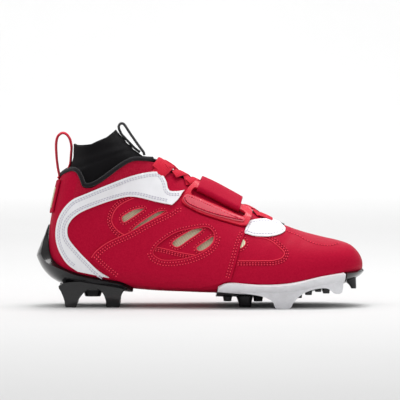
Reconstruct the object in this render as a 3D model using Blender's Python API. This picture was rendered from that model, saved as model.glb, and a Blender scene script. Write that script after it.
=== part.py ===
"""A right football cleat, built the way the real shoe is: hollow upper, sole plates, sock, tongue, strap and laces.

Every piece of the upper and the sole is worked out from one function, the surface of the last. The last is a row of
rings that fan from upright at the toe to almost level at the collar. A ring runs from a point on the crest (the
shoe's top line) round the outer side, the base and the inner side. A place on the last is (ring, angle): ring counts
the rows of the tables below, and angle goes from 0 on the crest over +90 on the outer side to 180 on the base line
and -90 on the inner side.

Units are metres. +X points to the toe, -Y to the outer (little toe) side, +Z up. The origin is on the floor.
"""

import math
from collections import namedtuple

import bmesh
import bpy
import numpy as np
from mathutils import Vector
from mathutils.geometry import delaunay_2d_cdt

# Driving sizes
LENGTH = 0.298
INSTEP_HEIGHT = 0.1216
HEEL_HEIGHT = 0.1042
TOE_SPRING = 0.0224
SOLE_LIFT = 0.0125
BALL_WIDTH = 0.100
HEEL_WIDTH = 0.067

# Walls and layers
UPPER_WALL = 0.0022
SOCK_WALL = 0.0024
TONGUE_THICKNESS = 0.0040
INSOLE_THICKNESS = 0.0040
MESH_THICKNESS = 0.0008
OVERLAY_THICKNESS = 0.0012
PLATE_THICKNESS = 0.0030
RAIL_THICKNESS = 0.0034
SPUR_DEPTH = 0.0082
ROLL_RADIUS = 0.0020
ROLL_OUTSET = 0.0003
LACE_WIDTH = 0.0085
LACE_THICKNESS = 0.0013
LACE_LIFT = 0.0006
STRAP_THICKNESS = 0.0016
STRAP_RISE = 0.0065
LOOP_THICKNESS = 0.0022
LOOP_RISE = 0.0023
LOOP_TILT_ANGLE = 11
PAD_THICKNESS = 0.0010
PULL_WIDTH = 0.0130
PULL_THICKNESS = 0.0016
PULL_STAND_OFF = 0.0003

# Clearances
FIT = 0.0003
SNUG = 0.0005
LINING_FIT = 0.0005
TONGUE_FIT = 0.0009
INSOLE_FIT = 0.0010
ROLL_FIT = 0.0005

# How finely sheets are divided
PANEL_STEP = 0.0075
RING_COLUMNS = 24
TOE_ROWS = (0, 0.5, 1, 1.6, 2.3, 3, 3.9, 4.9, 6.0)
THROAT_ROWS = (6.85, 7.1, 7.6, 8.3, 9.1, 10, 11, 12, 12.8, 13.6)
COLLAR_ROWS = 8
LACE_STEP = 0.0055
PULL_STEP = 0.0055

# Sections of the last. top_x is a share of LENGTH from the heel spur, top_z a share of INSTEP_HEIGHT above the sole
# line, outer and inner the half widths, widest how far down the ring its widest place lies, crown and keel how full
# the ring is above and below it (2 is an ellipse), crest and base how far each end leans to the inner side. All but
# crown and keel are per cent. base_z follows TOE_SPRING in the front table and HEEL_HEIGHT in the rear one. The half
# widths follow BALL_WIDTH in the front table and HEEL_WIDTH in the rear one.
Section = namedtuple("Section", "top_x top_z base_x base_z outer inner widest crown keel crest base")
FRONT_SECTIONS = [
    Section(99.9, 22.2, 99.9, 100, 4.0, 4.0, 50, 2.00, 2.00, 5.0, 5.0),
    Section(99.5, 25.9, 99.5, 90, 12.5, 12.0, 56, 2.10, 2.10, 5.0, 5.0),
    Section(98.3, 30.8, 98.4, 78, 21.0, 20.0, 60, 2.20, 2.20, 5.0, 4.5),
    Section(96.0, 35.7, 96.0, 61, 29.5, 28.0, 64, 2.30, 2.30, 4.5, 4.0),
    Section(92.3, 38.9, 92.3, 45, 37.0, 35.5, 68, 2.35, 2.30, 4.0, 3.0),
    Section(86.7, 42.1, 86.7, 27, 43.5, 42.0, 72, 2.30, 2.35, 3.5, 2.0),
    Section(80.6, 46.2, 79.7, 12, 48.0, 47.0, 76, 2.15, 2.40, 3.5, 1.0),
    Section(73.9, 52.3, 72.0, 4, 50.5, 49.5, 79, 2.00, 2.45, 4.0, 0.5),
    Section(67.1, 59.8, 63.7, 0, 50.0, 47.5, 81, 1.90, 2.50, 5.0, 0.0),
]
REAR_SECTIONS = [
    Section(60.4, 68.4, 54.8, 0.0, 70.0, 64.5, 82, 1.80, 2.50, 8.0, 0.0),
    Section(54.2, 76.7, 45.0, 0.9, 64.5, 58.0, 83, 1.75, 2.50, 8.0, 0.0),
    Section(48.7, 83.1, 34.6, 2.2, 59.5, 54.5, 83, 1.75, 2.50, 7.0, 0.0),
    Section(44.1, 88.7, 23.6, 5.3, 55.5, 53.0, 83, 1.80, 2.45, 6.0, 0.0),
    Section(40.4, 94.4, 13.7, 9.2, 53.0, 52.0, 82, 1.85, 2.40, 4.0, 0.0),
    Section(37.7, 98.9, 7.0, 15.8, 51.5, 51.0, 79, 1.90, 2.25, 3.0, 0.0),
    Section(35.5, 101.1, 3.9, 32.5, 50.0, 50.0, 75, 1.95, 2.15, 1.5, 0.0),
    Section(34.0, 102.6, 3.6, 50.0, 49.0, 49.0, 72, 2.00, 2.10, 0.0, 0.0),
    Section(32.8, 104.5, 4.4, 67.5, 47.5, 47.5, 69, 2.00, 2.10, 0.0, 0.0),
    Section(31.5, 106.8, 5.6, 84.2, 46.0, 46.0, 65, 2.00, 2.10, 0.0, 0.0),
    Section(30.3, 109.0, 7.0, 100.0, 44.5, 44.5, 60, 2.00, 2.10, 0.0, 0.0),
    Section(28.8, 112.8, 9.4, 110.0, 42.0, 42.0, 57, 2.00, 2.10, 0.0, 0.0),
    Section(26.9, 117.7, 10.2, 119.5, 40.5, 40.5, 55, 2.00, 2.10, 0.0, 0.0),
    Section(24.9, 123.7, 10.4, 131.0, 40.0, 40.0, 53, 2.00, 2.10, 0.0, 0.0),
]

# Edges on the last: the collar line as (angle, ring), the throat's half width as (ring, angle), in degrees
COLLAR = {
    "angle": (0, 12, 16, 21, 28, 38, 52, 68, 78, 86, 98, 108, 118, 132, 155, 180),
    "ring": (13.9, 14.0, 14.7, 15.7, 16.65, 17.15, 17.15, 17.0, 17.05, 17.4, 18.2, 18.75, 19.1, 19.35, 19.3, 19.0),
}
THROAT = {
    "ring": (6.75, 6.85, 7.1, 7.5, 8.2, 10.0, 12.0, 13.0, 14.0),
    "angle": (1.0, 5.0, 8.0, 10.0, 11.0, 10.0, 13.0, 14.0, 12.5),
}
SOCK_TOP = {"angle": (0, 25, 60, 100, 140, 180), "ring": (22, 21.8, 21.4, 21.3, 21.6, 21.9)}
SOCK_FRONT_RING = 15.0
TONGUE_RINGS = (6.2, 14.85)
TONGUE_OVERLAP = 14
TONGUE_WIDE_FROM_RING = 7.3
INSOLE_RINGS = (1.6, 13.6)
INSOLE_ANGLE = 112

# Openings in the upper's base, which the plates close: rings from and to, and the angle where the base wall ends
FORE_OPENING = (3.0, 7.6)
HEEL_OPENING = (12.0, 13.6)
OPENING_ANGLE = 132

# How much more than the wall the toe's front is drawn in, and how far from the middle the slots' cuts run, as a share
# of BALL_WIDTH
TOE_CAP_SHARE = 0.6
SLOT_CUT = (0.1, 0.8)
# The angle of the line along the side on which lengths are laid out flat
SIDE_LINE_ANGLE = 100

# Outlines drawn on the shoe's side. along is per cent of LENGTH from the heel spur, up is per cent of INSTEP_HEIGHT
# above the sole line.
BAND_UPPER_EDGE = {
    "along": (12.9, 9.7, 7.4, 6.4, 6.6, 7.9, 11.0, 16.2, 22.3, 28.5, 34.6, 37.7, 39.5, 40.4, 42.9, 45.2),
    "up": (17.6, 23.3, 32.3, 41.4, 51.1, 60.2, 69.9, 75.9, 82.0, 87.6, 90.4, 89.5, 83.5, 76.7, 75.9, 76.6),
}
BAND_LOWER_EDGE = {
    "along": (45.0, 43.4, 41.4, 36.1, 31.5, 28.5, 25.4, 19.3, 13.1, 10.1, 10.1, 13.1, 16.0, 19.0, 22.4),
    "up": (76.4, 70.5, 66.0, 68.8, 71.8, 72.6, 71.4, 66.9, 60.2, 51.9, 42.1, 32.3, 25.0, 18.2, 12.9),
}
WING_OUTLINE = {
    "along": (17.0, 18.6, 22.3, 28.5, 34.6, 40.2, 42.9, 44.8, 49.9, 56.1, 62.9, 63.6, 62.2, 60.4, 59.3,
              49.9, 37.7, 28.7, 24.6, 20.5),
    "up": (27.5, 32.6, 39.1, 45.9, 54.1, 60.6, 64.8, 64.8, 58.4, 53.4, 48.6, 45.5, 36.1, 20.3, 11.2,
           6.4, 6.6, 8.8, 11.8, 19.4),
}
WING_CORNERS = (0, 7, 10, 14, 18)
WINDOW = {
    "along": (35.8, 37.7, 42.6, 48.4, 52.4, 54.4, 53.9, 50.9, 45.3, 39.2, 36.3),
    "up": (32.3, 38.3, 45.9, 49.2, 49.6, 44.4, 37.6, 31.6, 26.7, 25.6, 28.6),
}
SLOTS = {
    "rear_high": {"along": (26.1, 27.0, 30.0, 33.2, 30.6, 27.0), "up": (57.0, 59.4, 63.2, 64.0, 59.0, 53.6)},
    "rear_low": {"along": (29.3, 32.1, 37.1, 39.3, 35.8, 29.9), "up": (48.4, 54.1, 61.5, 61.5, 56.0, 47.2)},
    "window_high": {"along": (41.4, 43.8, 48.0, 51.0, 46.6, 43.2), "up": (38.3, 43.2, 48.7, 48.5, 40.6, 35.3)},
    "window_low": {"along": (48.8, 51.5, 54.1, 53.8, 51.8, 49.9), "up": (35.0, 39.8, 43.6, 38.5, 34.2, 32.4)},
}
MESH_OUTLINE = {
    "along": (24.6, 26.0, 30.0, 35.0, 41.0, 50.0, 55.8, 55.6, 52.0, 47.0, 41.0, 33.0, 27.0),
    "up": (52.5, 61.5, 66.2, 67.0, 65.0, 52.5, 46.5, 35.5, 29.5, 29.5, 31.0, 41.5, 47.0),
}
EYESTAY_OUTLINE = {
    "along": (64.2, 65.5, 69.0, 71.6, 73.6, 75.0, 75.9, 75.6, 74.2, 69.9, 66.0),
    "up": (47.0, 53.4, 53.8, 53.2, 51.6, 49.8, 47.6, 45.2, 43.6, 42.9, 44.0),
}
LOOP_OUTLINE = {
    "along": (44.2, 45.5, 49.9, 56.1, 62.2, 64.2, 65.2, 65.4, 64.3, 62.8, 56.1, 49.6, 48.0, 46.0),
    "up": (69.0, 65.6, 60.0, 54.8, 50.4, 50.6, 54.4, 58.6, 61.4, 62.6, 71.6, 80.0, 81.0, 76.6),
}
LOOP_CORNERS = (0, 4, 8, 11)
LOOP_BAR_POINTS = 4
LOOP_HOLE = {
    "along": (47.0, 49.6, 56.1, 61.6, 63.1, 63.4, 62.2, 56.1, 50.0, 47.8),
    "up": (73.4, 70.6, 63.4, 57.2, 56.4, 57.8, 59.6, 67.2, 74.8, 76.6),
}
PAD_OUTLINE = {
    "along": (44.9, 46.6, 53.0, 59.1, 63.0, 63.4, 62.6, 59.1, 53.0, 46.9, 45.0),
    "up": (72.0, 73.2, 66.4, 59.4, 55.2, 53.4, 52.4, 54.6, 58.8, 64.8, 68.8),
}

# The heel plate's top edge on the side, from the heel cup's top to its tip at midfoot
REAR_PLATE_EDGE = {
    "along": (3.9, 3.8, 4.6, 7.0, 12.2, 19.3, 25.4, 27.9, 29.7),
    "up": (50.4, 38.3, 27.8, 21.8, 16.2, 12.4, 9.8, 7.4, 4.8),
}
SPUR_RINGS = {"ring": (12.5, 14.0, 14.8, 15.3, 16.0, 16.6), "share": (0.0, 35, 85, 100, 55, 5)}
SPUR_ANGLE = 50
SPUR_FALL = 0.8
HEEL_PLATE_LOWEST_EDGE = 168

# The side rail's upper and lower edge at the forefoot
RAIL_TOP = {"along": (55.6, 59.1, 68.3, 77.5, 86.7, 93.6), "up": (7.0, 9.6, 8.3, 9.4, 13.9, 16.4)}
RAIL_BOTTOM = {"along": (55.6, 60.0, 68.3, 77.5, 86.7, 93.4), "up": (2.4, 1.4, 1.0, 1.8, 5.4, 9.6)}
TOE_PLATE_EDGE = {"along": (99.2, 98.0, 96.0, 93.0), "up": (17.4, 17.2, 16.9, 16.4)}
PLATE_GAP_ANGLE = 1.6
FORE_PLATE_START_RING = 9.4
TOE_PLATE_LAP = (0.02, 0.07)
TOE_PLATE_RING = 1.1
TOE_PLATE_THINNING = 0.45

# Studs. root and tip give each end's centre as per cent of LENGTH. root_long and tip_long are their lengths,
# root_wide and tip_wide their widths, across the tip's distance from the middle line, lean how far the root stands
# nearer to it, rise the tip's height, tall the height of the root above the tip and depth how far the root runs on up
# into its plate, all in metres.
Stud = namedtuple("Stud", "root tip root_long tip_long root_wide tip_wide across lean rise tall depth")
HEEL_STUDS = {
    "rear": Stud(11.4, 10.6, 0.0340, 0.0090, 0.0165, 0.0075, 0.0200, 0.0020, 0.0, 0.0180, 0.0110),
    "front": Stud(23.6, 23.4, 0.0365, 0.0110, 0.0165, 0.0080, 0.0215, 0.0025, 0.0, 0.0172, 0.0100),
}
FORE_STUDS = {
    "inner": Stud(63.6, 63.8, 0.0160, 0.0110, 0.0125, 0.0085, 0.0185, 0.0010, 0.0, 0.0100, 0.0045),
    "toe": Stud(95.6, 97.0, 0.0130, 0.0050, 0.0140, 0.0080, 0.0100, 0.0000, 0.0165, 0.0080, 0.0045),
}
RAIL_STUDS = {
    "ball": Stud(75.2, 75.2, 0.0380, 0.0115, 0.0130, 0.0085, 0.0405, 0.0000, 0.0, 0.0130, 0.0045),
    "front": Stud(92.0, 92.2, 0.0120, 0.0070, 0.0100, 0.0070, 0.0270, -0.0020, 0.0125, 0.0090, 0.0045),
}
STUD_SEAT = 0.0012
STUD_ROUNDING = 0.55
STUD_WAIST = 0.32
STUD_WAIST_HEIGHT = 0.5

# Lace rows: the crest's place as per cent of LENGTH, and the half width there in metres
LACE_ROWS = ((39.6, 0.0112), (44.6, 0.0112), (50.2, 0.0080), (58.6, 0.0080), (64.4, 0.0120), (69.6, 0.0118))
STRAP_RINGS = (8.75, 10.8)
STRAP_START_ANGLE = -78
STRAP_RUN = {"share": (0, 11, 25, 38, 54, 65, 75, 85, 100), "rise": (46, 47, 62, 86, 100, 104, 104, 103, 100)}
STRAP_FOLD_RADIUS = 0.0026
STRAP_RETURN_ANGLE = 1.5
# The way round the instep that one radian takes, as a share of BALL_WIDTH
RADIAN_ROUND_INSTEP = 0.57

# Pull loops. Each starts and ends on the shoe's middle line, given by ring and by lift in metres off the last, and
# runs free between through points drawn on the side.
HEEL_PULL_FREE = {"along": (6.0, 5.8, 6.0, 7.6, 9.0, 9.8), "up": (98.0, 109.0, 116.6, 119.4, 116.0, 110.5)}
HEEL_PULL_RISE = 0.0038
HEEL_PULL_RINGS = (18.2, 18.75, 19.2)
HEEL_PULL_FAR_RINGS = (21.2, 20.6, 20.0)
TONGUE_PULL_FREE = {"along": (30.6, 28.0, 26.9, 26.0, 25.2), "up": (114.6, 122.4, 125.7, 126.3, 124.6)}
TONGUE_PULL_RINGS = (16.9, 17.4)
TONGUE_PULL_FAR_RINGS = (21.2, 20.4, 19.6)
HEEL_TAB_RINGS = (17.1, 18.85)
HEEL_TAB_ANGLE = 152

# Colour, roughness, metallic
LOOKS = {
    "red_leather": ((0.42, 0.004, 0.022), 0.42, 0.0),
    "red_plastic": ((0.62, 0.03, 0.06), 0.32, 0.0),
    "red_webbing": ((0.66, 0.03, 0.06), 0.75, 0.0),
    "white_leather": ((0.80, 0.80, 0.82), 0.45, 0.0),
    "white_plastic": ((0.74, 0.72, 0.76), 0.22, 0.0),
    "black_plastic": ((0.018, 0.017, 0.018), 0.20, 0.0),
    "black_knit": ((0.012, 0.011, 0.013), 0.90, 0.0),
    "beige_mesh": ((0.50, 0.44, 0.24), 0.85, 0.0),
    "grey_foam": ((0.10, 0.10, 0.11), 0.85, 0.0),
}

OUTER, INNER = 1, -1


def metres(columns):
    """A side outline's points as metres: x from the shoe's middle, z from the floor."""
    along = np.array(columns["along"], float) / 100
    up = np.array(columns["up"], float) / 100
    return np.stack([(along - 0.5) * LENGTH, SOLE_LIFT + up * INSTEP_HEIGHT], axis=1)


def smooth_through(rows, at):
    """Reads a table between its rows with a Catmull-Rom curve."""
    rows = np.asarray(rows, float)
    last = len(rows) - 1
    at = np.clip(np.asarray(at, float), 0, last)
    first = np.minimum(at.astype(int), last - 1)
    t = (at - first)[:, None]
    a = rows[np.maximum(first - 1, 0)]
    b = rows[first]
    c = rows[first + 1]
    d = rows[np.minimum(first + 2, last)]
    return 0.5 * (2 * b + (c - a) * t + (2 * a - 5 * b + 4 * c - d) * t**2 + (3 * b - a - 3 * c + d) * t**3)


def last_sections():
    """The section tables in metres, one row a ring."""
    rows = []
    for table, rise, width in ((FRONT_SECTIONS, TOE_SPRING, BALL_WIDTH), (REAR_SECTIONS, HEEL_HEIGHT, HEEL_WIDTH)):
        for section in table:
            rows.append([
                (section.top_x / 100 - 0.5) * LENGTH,
                SOLE_LIFT + section.top_z / 100 * INSTEP_HEIGHT,
                (section.base_x / 100 - 0.5) * LENGTH,
                SOLE_LIFT + section.base_z / 100 * rise,
                section.outer / 100 * width,
                section.inner / 100 * width,
                section.widest / 100,
                section.crown,
                section.keel,
                section.crest / 100 * width,
                section.base / 100 * width,
            ])
    return np.array(rows)


SECTIONS = last_sections()
RINGS = len(SECTIONS) - 1


def on_last(ring, angle):
    """The bare surface of the last at each (ring, angle), angle in radians."""
    top_x, top_z, base_x, base_z, outer, inner, widest, crown, keel, crest, base = smooth_through(SECTIONS, ring).T
    down = np.cos(angle)
    out = np.sin(angle)
    fullness = np.where(down >= 0, crown, keel)
    fall = np.abs(down) ** (2 / fullness)
    share = np.where(down >= 0, widest * (1 - fall), widest + (1 - widest) * fall)
    half = np.where(out >= 0, outer, inner) * np.abs(out) ** (2 / fullness)
    y = crest + (base - crest) * share - np.sign(out) * half
    return np.stack([top_x + (base_x - top_x) * share, y, top_z + (base_z - top_z) * share], axis=1)


def surface(ring, angle, lift=0.0):
    """Points that stand off the last by lift, outwards, at each (ring, angle). The arrays may have any one shape."""
    ring, angle, lift = np.broadcast_arrays(np.asarray(ring, float), np.asarray(angle, float), np.asarray(lift, float))
    shape = ring.shape
    ring, angle, lift = ring.ravel(), angle.ravel(), lift.ravel()
    step = 0.02
    low, high = np.maximum(ring - step, 0), np.minimum(ring + step, RINGS)
    along = on_last(high, angle) - on_last(low, angle)
    round_it = on_last(ring, angle + step) - on_last(ring, angle - step)
    normal = np.cross(along, round_it)
    normal /= np.linalg.norm(normal, axis=1)[:, None] + 1e-12
    points = on_last(ring, angle) + normal * lift[:, None]
    return points.reshape(shape + (3,))


def place_on_side(points):
    """(ring, angle) of each side-view point (x, z), angle between 0 and 180 degrees, in radians."""
    points = np.asarray(points, float)
    low = np.zeros(len(points))
    high = np.full(len(points), float(RINGS))
    for _ in range(40):
        middle = (low + high) / 2
        row = smooth_through(SECTIONS, middle)
        span_x, span_z = row[:, 2] - row[:, 0], row[:, 3] - row[:, 1]
        turn = span_x * (points[:, 1] - row[:, 1]) - span_z * (points[:, 0] - row[:, 0])
        low = np.where(turn < 0, middle, low)
        high = np.where(turn < 0, high, middle)
    ring = (low + high) / 2
    row = smooth_through(SECTIONS, ring)
    span_x, span_z = row[:, 2] - row[:, 0], row[:, 3] - row[:, 1]
    share = (span_x * (points[:, 0] - row[:, 0]) + span_z * (points[:, 1] - row[:, 1])) / (span_x**2 + span_z**2)
    share = np.clip(share, 0.001, 0.999)
    widest, crown, keel = row[:, 6], row[:, 7], row[:, 8]
    above = np.clip((widest - share) / widest, 0, 1) ** (crown / 2)
    below = np.clip((share - widest) / (1 - widest), 0, 1) ** (keel / 2)
    return ring, np.where(share < widest, np.arccos(above), math.pi - np.arccos(below))


def place_on_crest(points):
    """(ring, angle) of each point (x of the crest line, y across it)."""
    points = np.asarray(points, float)
    rings = np.linspace(0, RINGS, 400)
    ring = np.interp(-points[:, 0], -smooth_through(SECTIONS, rings)[:, 0], rings)
    row = smooth_through(SECTIONS, ring)
    across = points[:, 1]
    half = np.where(across < 0, row[:, 4], row[:, 5])
    angle = np.arcsin(np.clip(np.abs(across) / half, 0, 0.98) ** (row[:, 7] / 2))
    return ring, np.where(across < 0, angle, -angle)


def table(columns, key, value, at):
    """Reads one column of a table against another, in straight steps."""
    return np.interp(at, columns[key], columns[value])


def outline(columns, step=PANEL_STEP, corners=()):
    """A closed side outline in metres, smooth between its corners, with a point about every step."""
    points = metres(columns)
    count = len(points)
    if corners:
        runs = [(first, second) for first, second in zip(corners, corners[1:] + (corners[0] + count,))]
        pieces = []
        for first, second in runs:
            run = points[np.arange(first, second + 1) % count]
            pieces.append(even_steps(run, step)[:-1])
        return np.concatenate(pieces)
    lap = np.concatenate([points[-2:], points, points[:3]])
    fine = smooth_through(lap, np.linspace(2, count + 2, count * 8, endpoint=False))
    return even_steps(np.concatenate([fine, fine[:1]]), step, smooth=False)[:-1]


def even_steps(points, step, smooth=True):
    """Points at even distances along an open line."""
    points = np.asarray(points, float)
    if smooth:
        points = smooth_through(points, np.linspace(0, len(points) - 1, len(points) * 8))
    lengths = np.linalg.norm(np.diff(points, axis=0), axis=1)
    travelled = np.concatenate([[0], np.cumsum(lengths)])
    count = max(2, int(round(travelled[-1] / step)) + 1)
    at = np.linspace(0, travelled[-1], count)
    return np.stack([np.interp(at, travelled, points[:, axis]) for axis in range(points.shape[1])], axis=1)


def inside(points, loop):
    """Which points lie inside a closed loop."""
    x, z = points[:, 0][:, None], points[:, 1][:, None]
    ax, az = loop[:, 0], loop[:, 1]
    bx, bz = np.roll(ax, -1), np.roll(az, -1)
    crosses = (az > z) != (bz > z)
    reach = (bx - ax) * (z - az) / np.where(bz == az, 1e-12, bz - az) + ax
    return (crosses & (x < reach)).sum(axis=1) % 2 == 1


def unrolled(ring, angle):
    """Lays places on the last out flat, about true to size: distance along the side, distance round the ring."""
    rings = np.linspace(0, RINGS, 200)
    side = on_last(rings, np.full(len(rings), math.radians(SIDE_LINE_ANGLE)))
    travelled = np.concatenate([[0], np.cumsum(np.linalg.norm(np.diff(side, axis=0), axis=1))])
    return np.stack([np.interp(ring, rings, travelled), angle * BALL_WIDTH / 2], axis=1)


def rolled(flat):
    """The reverse of unrolled."""
    rings = np.linspace(0, RINGS, 200)
    ends = unrolled(rings, np.zeros(len(rings)))[:, 0]
    return np.interp(flat[:, 0], ends, rings), flat[:, 1] / (BALL_WIDTH / 2)


def flat_triangles(loops, keep, step):
    """Divides the flat area that keep accepts into triangles, with every loop's edges among theirs."""
    border = np.concatenate(loops)
    edges = []
    start = 0
    for loop in loops:
        edges += [(start + i, start + (i + 1) % len(loop)) for i in range(len(loop))]
        start += len(loop)
    low, high = border.min(axis=0), border.max(axis=0)
    filling = []
    for row, across in enumerate(np.arange(low[1] + step / 2, high[1], step * 0.87)):
        offset = step / 2 * (row % 2)
        filling += [(along, across) for along in np.arange(low[0] + offset, high[0], step)]
    filling = np.array(filling).reshape(-1, 2)
    far = np.linalg.norm(filling[:, None] - border[None], axis=2).min(axis=1) > step * 0.6
    filling = filling[far & keep(filling)]
    spots = [Vector(p) for p in np.concatenate([border, filling])]
    points, _, faces, *_ = delaunay_2d_cdt(spots, edges, [], 0, 1e-7)
    points = np.array([tuple(p) for p in points])
    faces = np.array([tuple(face) for face in faces])
    middles = points[faces].mean(axis=1)
    faces = faces[keep(middles)]
    used, faces = np.unique(faces, return_inverse=True)
    return points[used], faces.reshape(-1, 3)


def material(name):
    """A plain material from the table of looks."""
    if name in bpy.data.materials:
        return bpy.data.materials[name]
    colour, roughness, metallic = LOOKS[name]
    made = bpy.data.materials.new(name)
    made.use_nodes = True
    shader = made.node_tree.nodes["Principled BSDF"]
    shader.inputs["Base Color"].default_value = (*colour, 1)
    shader.inputs["Roughness"].default_value = roughness
    shader.inputs["Metallic"].default_value = metallic
    return made


def add_object(name, bm, look):
    """Makes an object of a bmesh, with its faces turned outwards."""
    bmesh.ops.remove_doubles(bm, verts=bm.verts, dist=1e-6)
    bmesh.ops.recalc_face_normals(bm, faces=bm.faces)
    if bm.calc_volume(signed=True) < 0:
        bmesh.ops.reverse_faces(bm, faces=bm.faces)
    mesh = bpy.data.meshes.new(name)
    bm.to_mesh(mesh)
    bm.free()
    mesh.shade_smooth()
    mesh.set_sharp_from_angle(angle=math.radians(40))
    made = bpy.data.objects.new(name, mesh)
    bpy.context.scene.collection.objects.link(made)
    if look:
        mesh.materials.append(material(look))
    return made


def shell(name, look, near, far, faces):
    """A closed solid between two sheets of like points, with a rim along every open edge of the sheet."""
    bm = bmesh.new()
    near_verts = [bm.verts.new(p) for p in near]
    far_verts = [bm.verts.new(p) for p in far]
    count = {}
    for face in faces:
        for a, b in zip(face, np.roll(face, -1)):
            count[(a, b)] = count.get((a, b), 0) + 1
    for face in faces:
        bm.faces.new([far_verts[i] for i in face])
        bm.faces.new([near_verts[i] for i in reversed(face)])
        for a, b in zip(face, np.roll(face, -1)):
            if (b, a) not in count:
                bm.faces.new([far_verts[b], far_verts[a], near_verts[a], near_verts[b]])
    loose = [vert for vert in bm.verts if not vert.link_faces]
    bmesh.ops.delete(bm, geom=loose, context="VERTS")
    return add_object(name, bm, look)


def grid_faces(rows, columns, closed=False, keep=None):
    """The four-sided faces of a grid of points, as rows of point numbers."""
    faces = []
    for i in range(rows - 1):
        for j in range(columns if closed else columns - 1):
            if keep is None or keep(i, j):
                k = (j + 1) % columns
                faces.append((i * columns + j, i * columns + k, (i + 1) * columns + k, (i + 1) * columns + j))
    return faces


def patch(name, look, ring, angle, near, far, keep=None):
    """A solid sheet over a grid of places on the last, from lift near to lift far."""
    rows, columns = ring.shape
    return shell(
        name,
        look,
        surface(ring, angle, near).reshape(-1, 3),
        surface(ring, angle, far).reshape(-1, 3),
        grid_faces(rows, columns, keep=keep),
    )


def side_panel(name, look, columns, side, near, far, holes=(), corners=(), step=PANEL_STEP):
    """An overlay cut to a side outline, from lift near to lift far. Both may be functions of (ring, angle)."""
    drawn = [outline(columns, step, corners)] + [outline(hole, step) for hole in holes]
    loops = [unrolled(*place_on_side(loop)) for loop in drawn]

    def keep(points):
        kept = inside(points, loops[0])
        for hole in loops[1:]:
            kept &= ~inside(points, hole)
        return kept

    flat, faces = flat_triangles(loops, keep, step)
    ring, angle = rolled(flat)
    lifts = [lift(ring, angle) if callable(lift) else lift for lift in (near, far)]
    return shell(
        name,
        look,
        surface(ring, side * angle, lifts[0]),
        surface(ring, side * angle, lifts[1]),
        [tuple(face) for face in faces],
    )


def prism(name, loop, low, high):
    """A cutter: a side outline drawn out from y = low to y = high."""
    bm = bmesh.new()
    face = bm.faces.new([bm.verts.new((x, low, z)) for x, z in loop])
    made = bmesh.ops.extrude_face_region(bm, geom=[face])
    moved = [item for item in made["geom"] if isinstance(item, bmesh.types.BMVert)]
    bmesh.ops.translate(bm, verts=moved, vec=(0, high - low, 0))
    return helper(add_object(name, bm, None))


def helper(made):
    """Keeps a cutter or a tool body out of the model."""
    made.hide_render = True
    made.display_type = "WIRE"
    return made


def boolean(made, operation, other):
    modifier = made.modifiers.new(operation.lower() + "_" + other.name, "BOOLEAN")
    modifier.operation = operation
    modifier.solver = "EXACT"
    modifier.object = other


def collar_angles():
    """The angles of the upper's columns at the collar, from one side of the throat round the heel to the other."""
    edge = math.radians(float(table(THROAT, "ring", "angle", THROAT_ROWS[-1])))
    return np.linspace(edge, 2 * math.pi - edge, RING_COLUMNS + 1)


def make_upper():
    """The hollow upper: one wall, open at collar and throat, and underneath where the plates close it."""
    front = list(TOE_ROWS) + [THROAT["ring"][0]]
    throat = list(THROAT_ROWS)
    rows = len(front) + len(throat) + COLLAR_ROWS
    columns = RING_COLUMNS + 1
    ring = np.zeros((rows, columns))
    angle = np.zeros((rows, columns))
    for i in range(rows):
        start = front[i] if i < len(front) else (front + throat)[min(i, len(front) + len(throat) - 1)]
        edge = math.radians(float(table(THROAT, "ring", "angle", start))) if i >= len(front) else 0.0
        angle[i] = edge + (2 * math.pi - 2 * edge) * np.linspace(0, 1, columns)
        ring[i] = start
    last_straight = throat[-1]
    for step in range(1, COLLAR_ROWS + 1):
        i = len(front) + len(throat) + step - 1
        folded = np.degrees(np.minimum(angle[i], 2 * math.pi - angle[i]))
        collar = table(COLLAR, "angle", "ring", folded)
        ring[i] = last_straight + (collar - last_straight) * step / COLLAR_ROWS

    def keep(i, j):
        middle = abs(math.degrees(angle[i, j] + angle[i, j + 1]) / 2 - 180)
        in_base = middle < 180 - OPENING_ANGLE
        at = (ring[i, j] + ring[i + 1, j]) / 2
        open_ring = FORE_OPENING[0] < at < FORE_OPENING[1] or HEEL_OPENING[0] < at < HEEL_OPENING[1]
        return not (in_base and open_ring)

    outside = surface(ring, angle, 0.0)
    inner = surface(ring, angle, -UPPER_WALL)
    faces = grid_faces(rows, columns, keep=keep)
    # The toe's first ring is closed by a cap, and the seam on the crest ahead of the throat is welded.
    weld = {}
    for i in range(len(front)):
        weld[i * columns + columns - 1] = i * columns
    faces = [tuple(weld.get(k, k) for k in face) for face in faces]
    hub = rows * columns
    outside = np.concatenate([outside.reshape(-1, 3), outside[0].mean(axis=0)[None]])
    inner = np.concatenate([inner.reshape(-1, 3), inner[0].mean(axis=0)[None]])
    inner[hub, 0] = inner[:columns, 0].mean() - UPPER_WALL * TOE_CAP_SHARE
    inner[:columns, 0] -= UPPER_WALL * TOE_CAP_SHARE
    faces += [(hub, weld.get(j + 1, j + 1), j) for j in range(columns - 1)]
    upper = shell("upper", "red_leather", inner, outside, faces)
    for slot, columns_of_slot in SLOTS.items():
        loop = outline(columns_of_slot, PANEL_STEP * 0.6)
        for side, word in ((OUTER, "outer"), (INNER, "inner")):
            low, high = sorted(-side * share * BALL_WIDTH for share in SLOT_CUT)
            boolean(upper, "DIFFERENCE", prism(f"cut_{slot}_{word}", loop, low, high))
    return upper


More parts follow.
